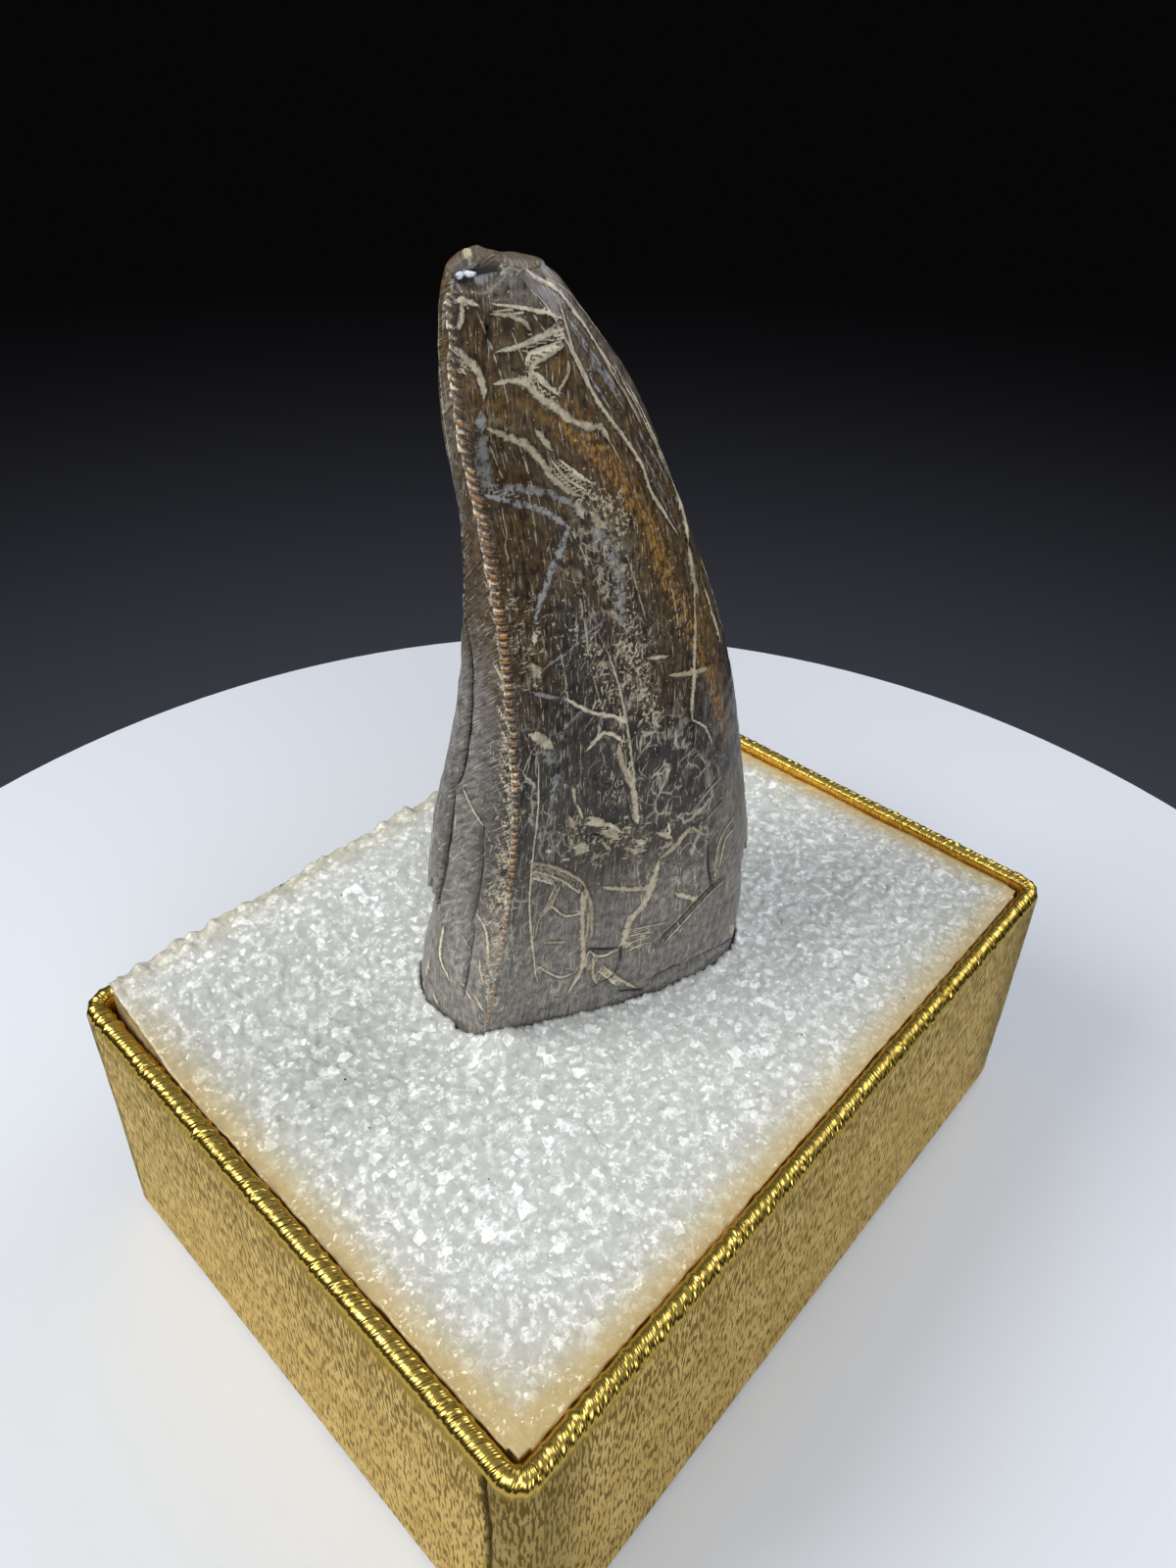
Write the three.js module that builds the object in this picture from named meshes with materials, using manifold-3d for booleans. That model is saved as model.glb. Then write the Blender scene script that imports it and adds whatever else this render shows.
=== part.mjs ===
// A fossil dinosaur tooth that stands in a slotted foam pad, in the tray of a small foil-covered gift box.
// Millimetres, +Z up. X runs along the tray's long side, and the origin is the centre of the tray's underside.
import * as THREE from "three";
import { mergeVertices } from "three/addons/utils/BufferGeometryUtils.js";
import Module from "manifold-3d";

const wasm = await Module();
wasm.setup();

// Tray: chipboard walls with foil paper glued over them, rolled over the rim and turned in
const TRAY_LENGTH = 54;
const TRAY_WIDTH = 40.5;
const TRAY_HEIGHT = 20.2;
const CORNER_RADIUS = 1.7;
const SMALLEST_RADIUS = 0.3;
const ARC_STEPS = 4;
const BASE_EDGE_RADIUS = 0.8;
const BASE_EDGE_STEPS = 3;
const RIM_STEPS = 6;
const FOIL = 0.2;
const BOARD = 0.8;
const GLUE_LINE = 0.05;
const WALL = 2 * FOIL + 2 * GLUE_LINE + BOARD;
const RIM_RADIUS = WALL / 2;
const TURN_IN = 12;
const FLAP_STEP = 0.12;
const FLAP_MARGIN = 2.4;

// Foam pad: closed-cell foam cut a little small for the tray, slit in the middle for the tooth
const FOAM_CLEARANCE = 0.2;
const FOAM_TOP = 19.6;
const FOAM_EDGE_DROP = 1.1;
const FOAM_EDGE_ROUND = 2.4;
const FOAM_BACK_LIFT = 1.2;
const FOAM_CORNER_PULL = 1.7;
const FOAM_EDGE_STEP = 5;
const FOAM_CORNER_REACH = 9;
const FOAM_TEAR = 0.35;
const FOAM_LUMP = 0.12;
const FOAM_RING_SHARES = [1, 0.97, 0.92, 0.82, 0.66, 0.45, 0.15];
const SLOT_TOP = 24;
const SLOT_LEVELS = 3;
const SLOT_CLEARANCE = 0.4;
const HOLLOW = { x: -15.5, y: 3.5, radius: 4.5, depth: 0.9 };

// Tooth: nine even stations from the broken root up to the blunt tip. Each row gives the section's
// centre, its half length, how far forward the cutting edge sits and how far along the front ridge sits
// (both as a share of the half size), and how far the section has turned from a D into a lens.
const TOOTH_BASE = 11.5;
const STATION_STEP = 6.75;
const STATIONS = [
  { x: -0.9, y: 1.0, half: 11.0, edge: -0.24, ridge: 0.8, lens: 0.0 },
  { x: -0.8, y: 0.8, half: 10.9, edge: -0.38, ridge: 0.74, lens: 0.0 },
  { x: 0.1, y: 0.6, half: 11.1, edge: -0.5, ridge: 0.65, lens: 0.0 },
  { x: 0.1, y: 0.4, half: 10.4, edge: -0.6, ridge: 0.56, lens: 0.0 },
  { x: 0.1, y: 0.2, half: 9.3, edge: -0.58, ridge: 0.4, lens: 0.2 },
  { x: -0.7, y: 0.4, half: 7.8, edge: -0.48, ridge: 0.52, lens: 0.44 },
  { x: -2.1, y: 0.7, half: 6.4, edge: -0.36, ridge: 0.38, lens: 0.64 },
  { x: -4.1, y: 1.2, half: 5.3, edge: -0.34, ridge: 0.22, lens: 0.78 },
  { x: -6.8, y: 1.5, half: 2.4, edge: -0.3, ridge: 0.25, lens: 0.8 },
];
const THICKNESS_RATIO = 0.61;
const TWIST = THREE.MathUtils.degToRad(-9);
const TIP_ROUND = 0.6;

// Section outline, once round anticlockwise from the cutting edge, as shares of the half length and thickness
const D_SECTION = [
  [-0.9, -0.2], [-0.55, -0.58], [-0.08, -0.85], [0.38, -1.0], [0.72, -0.95], [0.94, -0.58], [1.0, -0.05],
  [0.84, 0.5], [0.45, 0.88], [0.0, 1.0], [-0.45, 1.0], [-0.84, 0.8], [-0.98, 0.46], [-0.97, 0.12],
];
const LENS_SECTION = [
  [-1.0, 0.05], [-0.62, -0.42], [-0.18, -0.76], [0.22, -0.94], [0.52, -0.92], [0.86, -0.55], [1.0, -0.05],
  [0.82, 0.45], [0.42, 0.82], [0.0, 0.98], [-0.42, 0.92], [-0.78, 0.6], [-0.92, 0.38], [-0.98, 0.22],
];
const EDGE_ANCHOR = 0;
const RIDGE_ANCHOR = 4;
const FRONT_STEPS = 3;
const BACK_STEPS = 2;
const BACK_ANCHORS = [6, 11];
const RING_STEP = 2.0;
const LEDGE_SLOPE = 0.12;

// Where flakes of enamel are missing: from one side anchor to another, between two heights, and how deep
const FLAKES = [
  { from: 10.4, to: 12.6, low: 11.5, high: 27.9, depth: 0.75 },
  { from: 4.1, to: 6.6, low: 11.5, high: 27.0, depth: 0.8 },
  { from: 4.4, to: 6.4, low: 53.0, high: 66.0, depth: 0.35 },
  { from: 4.2, to: 4.9, low: 45.0, high: 53.0, depth: 0.3 },
  { from: 6.9, to: 9.2, low: 38.0, high: 47.0, depth: 0.35 },
];

// Open cracks in the crown, each a line of [side anchor, height]
const CRACKS = [
  [[12.4, 55], [12.2, 51.5], [12.3, 48], [12.8, 44], [12.9, 41], [12.8, 37], [12.7, 34], [12.6, 28]],
  [[12.9, 37], [13.3, 35.5], [13.5, 33], [13.4, 29.5], [13.4, 25.5], [13.4, 21]],
  [[3.3, 31.5], [3.2, 28.5], [3.0, 26], [2.5, 24], [2.2, 23.2]],
  [[1.3, 25], [1.8, 24.6], [1.85, 22.8], [1.6, 21.2]],
  [[0.75, 63.5], [1.05, 61], [1.1, 59.2]],
  [[1.8, 39.5], [1.95, 36], [1.85, 33.5], [1.8, 31]],
  [[8.8, 47], [9.2, 40], [9.0, 33], [9.3, 26]],
  [[10.4, 42], [10.0, 36], [10.6, 29.5], [10.3, 23]],
];
const CRACK_WIDTH = 0.45;
const CRACK_DEPTH = 0.5;
const CRACK_LIP = 0.12;

// Serrations along the cutting edge
const DENTICLE_PITCH = 0.46;
const DENTICLE_THICKNESS = 0.6;
const DENTICLE_RISE = 0.4;
const DENTICLE_DIP = 0.04;
const DENTICLE_ROOT = 0.4;
const SERRATION_LOW = 20.6;
const SERRATION_HIGH = 64.2;

// Tip: a broken pit on the front and a worn knob on each side of it
const TIP_PIT = { side: 1.0, height: 64.9, radius: 1.15 };
const TIP_KNOBS = [
  { x: -8.0, y: 1.7, z: 65.6, radius: 0.75 },
  { x: -6.9, y: 1.3, z: 65.75, radius: 0.7 },
  { x: -5.6, y: 1.0, z: 65.3, radius: 0.75 },
];

// Seeded chance in 0..1, so that the torn and broken edges are the same in every build
function chance(index) {
  const wave = Math.sin(index * 127.1 + 11.7) * 43758.5453;
  return wave - Math.floor(wave);
}

function catmullRom(before, start, end, after, share) {
  const squared = share * share;
  const cubed = squared * share;
  return 0.5 * (2 * start + (end - before) * share + (2 * before - 5 * start + 4 * end - after) * squared
    + (3 * start - before - 3 * end + after) * cubed);
}

function smooth(low, high, value) {
  return THREE.MathUtils.smoothstep(value, low, high);
}

// A closed skin over a stack of rings with equal point counts, capped at both ends
function stackGeometry(rings) {
  const count = rings[0].length;
  const positions = [];
  const indices = [];
  for (const point of rings.flat()) {
    positions.push(point.x, point.y, point.z);
  }
  for (let level = 0; level < rings.length - 1; level += 1) {
    for (let step = 0; step < count; step += 1) {
      const next = (step + 1) % count;
      const below = level * count;
      const above = below + count;
      indices.push(below + step, below + next, above + next);
      indices.push(below + step, above + next, above + step);
    }
  }
  const addCap = (ring, first, flipped) => {
    if (count === 4) {
      const [second, third] = flipped ? [first + 3, first + 1] : [first + 1, first + 3];
      indices.push(first, second, first + 2, first, first + 2, third);
      return;
    }
    const middle = new THREE.Vector3();
    for (const point of ring) {
      middle.addScaledVector(point, 1 / count);
    }
    const centre = positions.length / 3;
    positions.push(middle.x, middle.y, middle.z);
    for (let step = 0; step < count; step += 1) {
      const next = (step + 1) % count;
      const [left, right] = flipped ? [next, step] : [step, next];
      indices.push(centre, first + left, first + right);
    }
  };
  addCap(rings[0], 0, true);
  addCap(rings[rings.length - 1], (rings.length - 1) * count, false);
  const geometry = new THREE.BufferGeometry();
  geometry.setAttribute("position", new THREE.Float32BufferAttribute(positions, 3));
  geometry.setIndex(indices);
  return geometry;
}

// Booleans: a geometry becomes a solid with its shared corners merged, and comes back as a geometry
function toSolid(source) {
  const bare = new THREE.BufferGeometry();
  bare.setAttribute("position", source.getAttribute("position").clone());
  if (source.index) {
    bare.setIndex(source.index.clone());
  }
  const merged = mergeVertices(bare, 1e-5);
  return new wasm.Manifold(new wasm.Mesh({
    numProp: 3,
    vertProperties: Float32Array.from(merged.getAttribute("position").array),
    triVerts: Uint32Array.from(merged.index.array),
  }));
}

function toGeometry(solid) {
  const mesh = solid.getMesh();
  const geometry = new THREE.BufferGeometry();
  geometry.setAttribute("position", new THREE.Float32BufferAttribute(mesh.vertProperties, 3));
  geometry.setIndex(new THREE.Uint32BufferAttribute(mesh.triVerts, 1));
  return geometry;
}

// The tray's outline at a height, moved in from its outer face by an inset
function trayRing(inset, height) {
  const radius = Math.max(CORNER_RADIUS - inset, SMALLEST_RADIUS);
  const ring = [];
  const corners = [[1, -1], [1, 1], [-1, 1], [-1, -1]];
  corners.forEach(([alongX, alongY], corner) => {
    const centreX = alongX * (TRAY_LENGTH / 2 - inset - radius);
    const centreY = alongY * (TRAY_WIDTH / 2 - inset - radius);
    for (let step = 0; step <= ARC_STEPS; step += 1) {
      const angle = -Math.PI / 2 + (corner + step / ARC_STEPS) * (Math.PI / 2);
      const x = centreX + radius * Math.cos(angle);
      const y = centreY + radius * Math.sin(angle);
      ring.push(new THREE.Vector3(x, y, height));
    }
  });
  return ring;
}

// The rounded edge round the base, from the underside out to the wall, inset by a thickness
function baseEdgeRings(inset) {
  const radius = BASE_EDGE_RADIUS - inset;
  const rings = [];
  for (let step = 0; step <= BASE_EDGE_STEPS; step += 1) {
    const angle = (step / BASE_EDGE_STEPS) * (Math.PI / 2);
    rings.push(trayRing(inset + radius * (1 - Math.sin(angle)), inset + radius * (1 - Math.cos(angle))));
  }
  return rings;
}

// Foil paper: one skin under the base, up the walls, rolled over the rim and turned in down the inside
function foilWrapGeometry() {
  const rings = baseEdgeRings(0);
  for (let step = 0; step <= RIM_STEPS; step += 1) {
    const angle = (step / RIM_STEPS) * Math.PI;
    rings.push(trayRing(RIM_RADIUS * (1 - Math.cos(angle)), TRAY_HEIGHT - RIM_RADIUS * (1 - Math.sin(angle))));
  }
  rings.push(trayRing(WALL, TRAY_HEIGHT - TURN_IN));
  rings.push(trayRing(WALL - FOIL, TRAY_HEIGHT - TURN_IN));
  rings.push(trayRing(WALL - FOIL, TRAY_HEIGHT - 2 * FOIL));
  rings.push(trayRing(FOIL, TRAY_HEIGHT - 2 * FOIL));
  rings.push(...baseEdgeRings(FOIL).reverse());
  let wrap = toSolid(stackGeometry(rings));
  const flapLow = 2 * BASE_EDGE_RADIUS;
  const flapHigh = TRAY_HEIGHT - RIM_RADIUS;
  const flapWidth = TRAY_WIDTH - 2 * (CORNER_RADIUS + FLAP_MARGIN);
  const sunk = FOIL / 2;
  for (const end of [-1, 1]) {
    const flap = new THREE.BoxGeometry(FLAP_STEP + sunk, flapWidth, flapHigh - flapLow);
    flap.translate(end * (TRAY_LENGTH / 2 + (FLAP_STEP - sunk) / 2), 0, (flapLow + flapHigh) / 2);
    wrap = wrap.add(toSolid(flap));
  }
  return toGeometry(wrap);
}

// Chipboard: the floor and the four walls that the foil is glued to
function trayBoardGeometry() {
  const outer = FOIL + GLUE_LINE;
  const top = TRAY_HEIGHT - 2 * FOIL - GLUE_LINE;
  return stackGeometry([
    ...baseEdgeRings(outer),
    trayRing(outer, top),
    trayRing(outer + BOARD, top),
    trayRing(outer + BOARD, outer + BOARD),
  ]);
}

// One value of the stations at a height, along a smooth curve through the nine rows
function stationValue(name, height) {
  const last = STATIONS.length - 1;
  const place = THREE.MathUtils.clamp((height - TOOTH_BASE) / STATION_STEP, 0, last);
  const row = Math.min(Math.floor(place), last - 1);
  const start = STATIONS[row][name];
  const end = STATIONS[row + 1][name];
  const before = row > 0 ? STATIONS[row - 1][name] : 2 * start - end;
  const after = row < last - 1 ? STATIONS[row + 2][name] : 2 * end - start;
  return catmullRom(before, start, end, after, place - row);
}

// The section's anchors at a height, blended from the D to the lens and moved to the edge and ridge
function sectionAnchors(height) {
  const lens = THREE.MathUtils.clamp(stationValue("lens", height), 0, 1);
  const anchors = D_SECTION.map(([along, across], index) => [
    THREE.MathUtils.lerp(along, LENS_SECTION[index][0], lens),
    THREE.MathUtils.lerp(across, LENS_SECTION[index][1], lens),
  ]);
  const shift = stationValue("ridge", height) - anchors[RIDGE_ANCHOR][0];
  anchors[EDGE_ANCHOR][1] = stationValue("edge", height);
  anchors[RIDGE_ANCHOR - 1][0] += 0.6 * shift;
  anchors[RIDGE_ANCHOR][0] += shift;
  anchors[RIDGE_ANCHOR + 1][0] += 0.3 * shift;
  return anchors;
}

function flakeDepth(side, height) {
  let depth = 0;
  for (const flake of FLAKES) {
    const inside = side > flake.from && side < flake.to && height > flake.low && height < flake.high;
    depth = inside ? Math.max(depth, flake.depth) : depth;
  }
  return depth;
}

// A point on the crown: the side is counted in anchors round from the cutting edge
function crownPoint(side, height, outward = 0) {
  const anchors = sectionAnchors(height);
  const count = anchors.length;
  const index = Math.floor(side);
  const pick = (offset) => anchors[(index + offset + count) % count];
  const share = side - index;
  const half = stationValue("half", height);
  const along = half * catmullRom(pick(-1)[0], pick(0)[0], pick(1)[0], pick(2)[0], share);
  const across = half * THICKNESS_RATIO * catmullRom(pick(-1)[1], pick(0)[1], pick(1)[1], pick(2)[1], share);
  const reach = Math.hypot(along, across);
  const grown = (reach + outward) / reach;
  return new THREE.Vector3(
    stationValue("x", height) + grown * (along * Math.cos(TWIST) - across * Math.sin(TWIST)),
    stationValue("y", height) + grown * (along * Math.sin(TWIST) + across * Math.cos(TWIST)),
    height,
  );
}

function crownRing(height, outward, flaked) {
  const ring = [];
  for (let anchor = 0; anchor < D_SECTION.length; anchor += 1) {
    const behind = anchor >= BACK_ANCHORS[0] && anchor < BACK_ANCHORS[1];
    const steps = behind ? BACK_STEPS : FRONT_STEPS;
    for (let step = 0; step < steps; step += 1) {
      const side = anchor + step / steps;
      ring.push(crownPoint(side, height, outward - (flaked ? flakeDepth(side, height) : 0)));
    }
  }
  return ring;
}

// The crown's skin, with a pair of close rings where each flake begins or ends
function crownGeometry() {
  const top = TOOTH_BASE + STATION_STEP * (STATIONS.length - 1);
  const heights = [];
  for (let height = TOOTH_BASE; height < top - TIP_ROUND; height += RING_STEP) {
    heights.push(height);
  }
  const ledges = FLAKES.flatMap((flake) => [flake.low, flake.high])
    .filter((ledge) => ledge > TOOTH_BASE && ledge < top);
  for (const ledge of new Set(ledges)) {
    heights.push(ledge - LEDGE_SLOPE, ledge + LEDGE_SLOPE);
  }
  heights.sort((low, high) => low - high);
  const rings = heights.map((height) => crownRing(height, 0, true));
  rings.push(crownRing(top - TIP_ROUND, -0.2 * TIP_ROUND, false));
  rings.push(crownRing(top, -0.8 * TIP_ROUND, false));
  return stackGeometry(rings);
}

// A four-sided groove cutter that follows a crack, half of it buried in the crown
function crackGeometry(route) {
  const rings = [];
  route.forEach(([side, height], index) => {
    const [nextSide, nextHeight] = route[Math.min(index + 1, route.length - 1)];
    const [lastSide, lastHeight] = route[Math.max(index - 1, 0)];
    const sunk = -flakeDepth(side, height);
    const surface = crownPoint(side, height, sunk);
    const out = crownPoint(side, height, sunk + 1).sub(surface).normalize();
    const along = crownPoint(nextSide, nextHeight).sub(crownPoint(lastSide, lastHeight)).normalize();
    const across = new THREE.Vector3().crossVectors(out, along).normalize();
    const taper = index === 0 || index === route.length - 1 ? 0.3 : 0.85 + 0.3 * chance(index + side);
    const width = (CRACK_WIDTH / 2) * taper;
    rings.push([
      surface.clone().addScaledVector(across, width).addScaledVector(out, CRACK_LIP),
      surface.clone().addScaledVector(out, CRACK_DEPTH),
      surface.clone().addScaledVector(across, -width).addScaledVector(out, CRACK_LIP),
      surface.clone().addScaledVector(out, -CRACK_DEPTH * taper),
    ]);
  });
  return stackGeometry(rings);
}

// The serrations: one strip along the cutting edge, its crest rising at each denticle and dipping between them
function serrationGeometry() {
  const rings = [];
  const count = 2 * Math.floor((SERRATION_HIGH - SERRATION_LOW) / DENTICLE_PITCH);
  const half = DENTICLE_THICKNESS / 2;
  for (let step = 0; step <= count; step += 1) {
    const height = SERRATION_LOW + (step * DENTICLE_PITCH) / 2;
    const root = crownPoint(0, height);
    const out = crownPoint(0, height, 1).sub(root).normalize();
    const up = crownPoint(0, height + DENTICLE_PITCH).sub(root).normalize();
    const across = new THREE.Vector3().crossVectors(out, up).normalize();
    const crest = step % 2 === 1 ? DENTICLE_RISE * (0.6 + 0.5 * chance(step)) : DENTICLE_DIP;
    const corner = (sideways, lift) => root.clone().addScaledVector(across, sideways * half)
      .addScaledVector(out, lift);
    rings.push([
      corner(-1.3, -DENTICLE_ROOT),
      corner(1.3, -DENTICLE_ROOT),
      corner(0.5, crest),
      corner(-0.5, crest),
    ]);
  }
  return stackGeometry(rings);
}

function lumpGeometry(centre, radius, seed) {
  const lump = new THREE.IcosahedronGeometry(radius, 1);
  lump.deleteAttribute("normal");
  lump.deleteAttribute("uv");
  const merged = mergeVertices(lump, 1e-4);
  const position = merged.getAttribute("position");
  for (let index = 0; index < position.count; index += 1) {
    const swell = 0.82 + 0.3 * chance(seed + index);
    position.setXYZ(index, centre.x + swell * position.getX(index), centre.y + swell * position.getY(index),
      centre.z + 0.8 * swell * position.getZ(index));
  }
  return merged;
}

// Fossil tooth, one piece: the crown with its serrations, worn tip, flake scars and open cracks
function fossilToothGeometry() {
  let tooth = toSolid(crownGeometry());
  TIP_KNOBS.forEach((knob, index) => {
    tooth = tooth.add(toSolid(lumpGeometry(knob, knob.radius, 40 * (index + 1))));
  });
  tooth = tooth.add(toSolid(serrationGeometry()));
  const pit = crownPoint(TIP_PIT.side, TIP_PIT.height, 0.35);
  tooth = tooth.subtract(toSolid(lumpGeometry(pit, TIP_PIT.radius, 7)));
  for (const route of CRACKS) {
    tooth = tooth.subtract(toSolid(crackGeometry(route)));
  }
  return toGeometry(tooth);
}

// Height of the foam's top: rounded down at the walls, lifted along the back wall and hollowed by the tooth
function foamTop(x, y, toWall) {
  const nearBack = smooth(9, 18, y);
  const rounding = FOAM_EDGE_DROP * (1 - smooth(0, FOAM_EDGE_ROUND, toWall)) * (1 - nearBack);
  const away = Math.hypot(x - HOLLOW.x, y - HOLLOW.y) / HOLLOW.radius;
  const dip = HOLLOW.depth * Math.exp(-away * away);
  const lumps = FOAM_LUMP * Math.sin(0.9 * x + 0.5) * Math.cos(1.1 * y);
  return FOAM_TOP - rounding + FOAM_BACK_LIFT * nearBack - dip + lumps;
}

// Foam pad: rings from the base edge up the cut sides and inwards over the top, then the slot cut out
function foamPadGeometry() {
  const inset = WALL + FOAM_CLEARANCE;
  const floor = FOIL + GLUE_LINE + BOARD;
  const reach = Math.hypot(TRAY_LENGTH / 2, TRAY_WIDTH / 2);
  const sideRing = (height, share) => denseRing(inset).map((point, index) => {
    const toCorner = Math.hypot(point.x + TRAY_LENGTH / 2, point.y - TRAY_WIDTH / 2);
    const pulled = 1 - smooth(0, FOAM_CORNER_REACH, toCorner);
    const torn = share * (FOAM_TEAR * chance(index) + FOAM_CORNER_PULL * pulled);
    const scale = 1 - torn / reach;
    return new THREE.Vector3(point.x * scale, point.y * scale, height);
  });
  const mouth = sideRing(0, 1);
  const rings = [sideRing(floor, 0), sideRing(FOAM_TOP / 2, 0.3)];
  rings.push(mouth.map((point) => point.clone().setZ(foamTop(point.x, point.y, 0) - FOAM_EDGE_DROP)));
  for (const share of FOAM_RING_SHARES) {
    rings.push(mouth.map((point, index) => {
      const x = point.x * share;
      const y = point.y * share;
      const toWall = Math.min(TRAY_LENGTH / 2 - Math.abs(x), TRAY_WIDTH / 2 - Math.abs(y)) - inset;
      const ragged = share > 0.9 ? FOAM_TEAR * (chance(index + 90 * share) - 0.5) : 0;
      return new THREE.Vector3(x, y, foamTop(x, y, toWall) + ragged);
    }));
  }
  const slot = [];
  for (let level = 0; level <= SLOT_LEVELS; level += 1) {
    const height = THREE.MathUtils.lerp(TOOTH_BASE, SLOT_TOP, level / SLOT_LEVELS);
    slot.push(crownRing(height, SLOT_CLEARANCE, false));
  }
  return toGeometry(toSolid(stackGeometry(rings)).subtract(toSolid(stackGeometry(slot))));
}

// The tray outline again, with extra points along its straight sides
function denseRing(inset) {
  const sparse = trayRing(inset, 0);
  const ring = [];
  sparse.forEach((point, index) => {
    const next = sparse[(index + 1) % sparse.length];
    const pieces = Math.max(1, Math.round(point.distanceTo(next) / FOAM_EDGE_STEP));
    for (let piece = 0; piece < pieces; piece += 1) {
      ring.push(point.clone().lerp(next, piece / pieces));
    }
  });
  return ring;
}

function namedMesh(name, geometry, color, roughness, metalness) {
  const mesh = new THREE.Mesh(geometry, new THREE.MeshStandardMaterial({ color, roughness, metalness }));
  mesh.name = name;
  return mesh;
}

const part = new THREE.Group();
part.add(
  namedMesh("fossil_tooth", fossilToothGeometry(), 0x3f3226, 0.4, 0),
  namedMesh("foam_pad", foamPadGeometry(), 0xd5d6d2, 0.85, 0),
  namedMesh("tray_board", trayBoardGeometry(), 0x9c9384, 0.95, 0),
  namedMesh("foil_wrap", foilWrapGeometry(), 0xc9a962, 0.35, 0.6),
);
export default part;
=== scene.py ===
# Fossil dinosaur tooth in a slotted foam pad, in the tray of a small foil-covered gift box.
# Sizes are millimetres, turned to metres when a mesh is made. The origin is the centre of the tray's underside.
import math

import bpy
import numpy as np
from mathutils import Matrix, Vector
from mathutils.bvhtree import BVHTree


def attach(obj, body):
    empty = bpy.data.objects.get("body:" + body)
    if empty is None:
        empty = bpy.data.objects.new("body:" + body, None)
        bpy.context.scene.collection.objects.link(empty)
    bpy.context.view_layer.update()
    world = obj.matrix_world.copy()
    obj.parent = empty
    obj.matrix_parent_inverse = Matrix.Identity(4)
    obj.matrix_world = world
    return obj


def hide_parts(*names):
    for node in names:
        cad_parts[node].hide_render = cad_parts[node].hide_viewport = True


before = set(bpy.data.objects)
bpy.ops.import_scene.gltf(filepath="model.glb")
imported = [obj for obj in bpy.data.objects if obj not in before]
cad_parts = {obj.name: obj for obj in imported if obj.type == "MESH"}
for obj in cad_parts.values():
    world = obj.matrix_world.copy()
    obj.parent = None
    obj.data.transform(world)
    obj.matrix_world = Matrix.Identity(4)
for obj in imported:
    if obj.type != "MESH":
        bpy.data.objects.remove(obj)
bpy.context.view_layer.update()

# Camera: a phone held above the tray's near corner. It comes first, because the tooth's markings are placed
# by the pixels where the photograph shows them.
MM = 0.001
PHOTO_WIDTH = 1200
PHOTO_HEIGHT = 1600
SENSOR = 36.0
FOCAL_PIXELS = 1129.63
PRINCIPAL_POINT = (612.8, 682.4)
CAMERA_PLACE = np.array([-41.23, -36.22, 75.74])
CAMERA_AZIMUTH = math.radians(-48.34)
CAMERA_DROP = math.radians(31.736)
CAMERA_ROLL = math.radians(1.707)

level_right = np.array([math.cos(CAMERA_AZIMUTH), math.sin(CAMERA_AZIMUTH), 0.0])
camera_forward = np.array([
    -math.sin(CAMERA_AZIMUTH) * math.cos(CAMERA_DROP),
    math.cos(CAMERA_AZIMUTH) * math.cos(CAMERA_DROP),
    -math.sin(CAMERA_DROP),
])
level_up = np.cross(level_right, camera_forward)
camera_right = math.cos(CAMERA_ROLL) * level_right + math.sin(CAMERA_ROLL) * level_up
camera_up = math.cos(CAMERA_ROLL) * level_up - math.sin(CAMERA_ROLL) * level_right


def pixel_direction(x, y):
    """The direction in which the camera sees a pixel of the photograph."""
    sideways = (x - PRINCIPAL_POINT[0]) / FOCAL_PIXELS
    upwards = (PRINCIPAL_POINT[1] - y) / FOCAL_PIXELS
    direction = camera_forward + sideways * camera_right + upwards * camera_up
    return direction / np.linalg.norm(direction)


camera_data = bpy.data.cameras.new("phone_camera")
camera_data.sensor_width = SENSOR
camera_data.lens = FOCAL_PIXELS / PHOTO_HEIGHT * SENSOR
camera_data.shift_x = (PHOTO_WIDTH / 2 - PRINCIPAL_POINT[0]) / PHOTO_HEIGHT
camera_data.shift_y = (PRINCIPAL_POINT[1] - PHOTO_HEIGHT / 2) / PHOTO_HEIGHT
camera_data.clip_start = 1 * MM
camera_data.clip_end = 10.0
camera = bpy.data.objects.new("phone_camera", camera_data)
camera.matrix_world = [
    [camera_right[0], camera_up[0], -camera_forward[0], CAMERA_PLACE[0] * MM],
    [camera_right[1], camera_up[1], -camera_forward[1], CAMERA_PLACE[1] * MM],
    [camera_right[2], camera_up[2], -camera_forward[2], CAMERA_PLACE[2] * MM],
    [0.0, 0.0, 0.0, 1.0],
]
camera.matrix_world.transpose()
bpy.context.scene.collection.objects.link(camera)
bpy.context.scene.camera = camera

# Tray board: grey chipboard, 0.8 mm thick, folded up from one blank. The foil paper is glued round it,
# and the foam lies on it, so almost nothing of it shows.
CHIPBOARD_GREY = "9C9384"
CHIPBOARD_FLECK = "6F675A"
PULP_FLECK = 0.4


def linear(hex_code, alpha=1.0):
    """An sRGB hex colour as the linear colour that a shader takes."""
    levels = [int(hex_code[start:start + 2], 16) / 255 for start in (0, 2, 4)]
    return [level / 12.92 if level <= 0.04045 else ((level + 0.055) / 1.055) ** 2.4 for level in levels] + [alpha]


def add_node(material, kind, links=None, **settings):
    """Adds a node. Settings are its own properties; links are its inputs, as values, sockets or other nodes."""
    node = material.node_tree.nodes.new(kind)
    for name, value in settings.items():
        setattr(node, name, value)
    for key, value in (links or {}).items():
        source = value.outputs[0] if isinstance(value, bpy.types.Node) else value
        if isinstance(source, bpy.types.NodeSocket):
            material.node_tree.links.new(source, node.inputs[key])
        else:
            node.inputs[key].default_value = source
    return node


def start_material(name):
    """An empty node material, with the object's own metres as its texture space."""
    material = bpy.data.materials.new(name)
    material.use_nodes = True
    material.node_tree.nodes.clear()
    return material, add_node(material, "ShaderNodeTexCoord").outputs["Object"]


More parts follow.
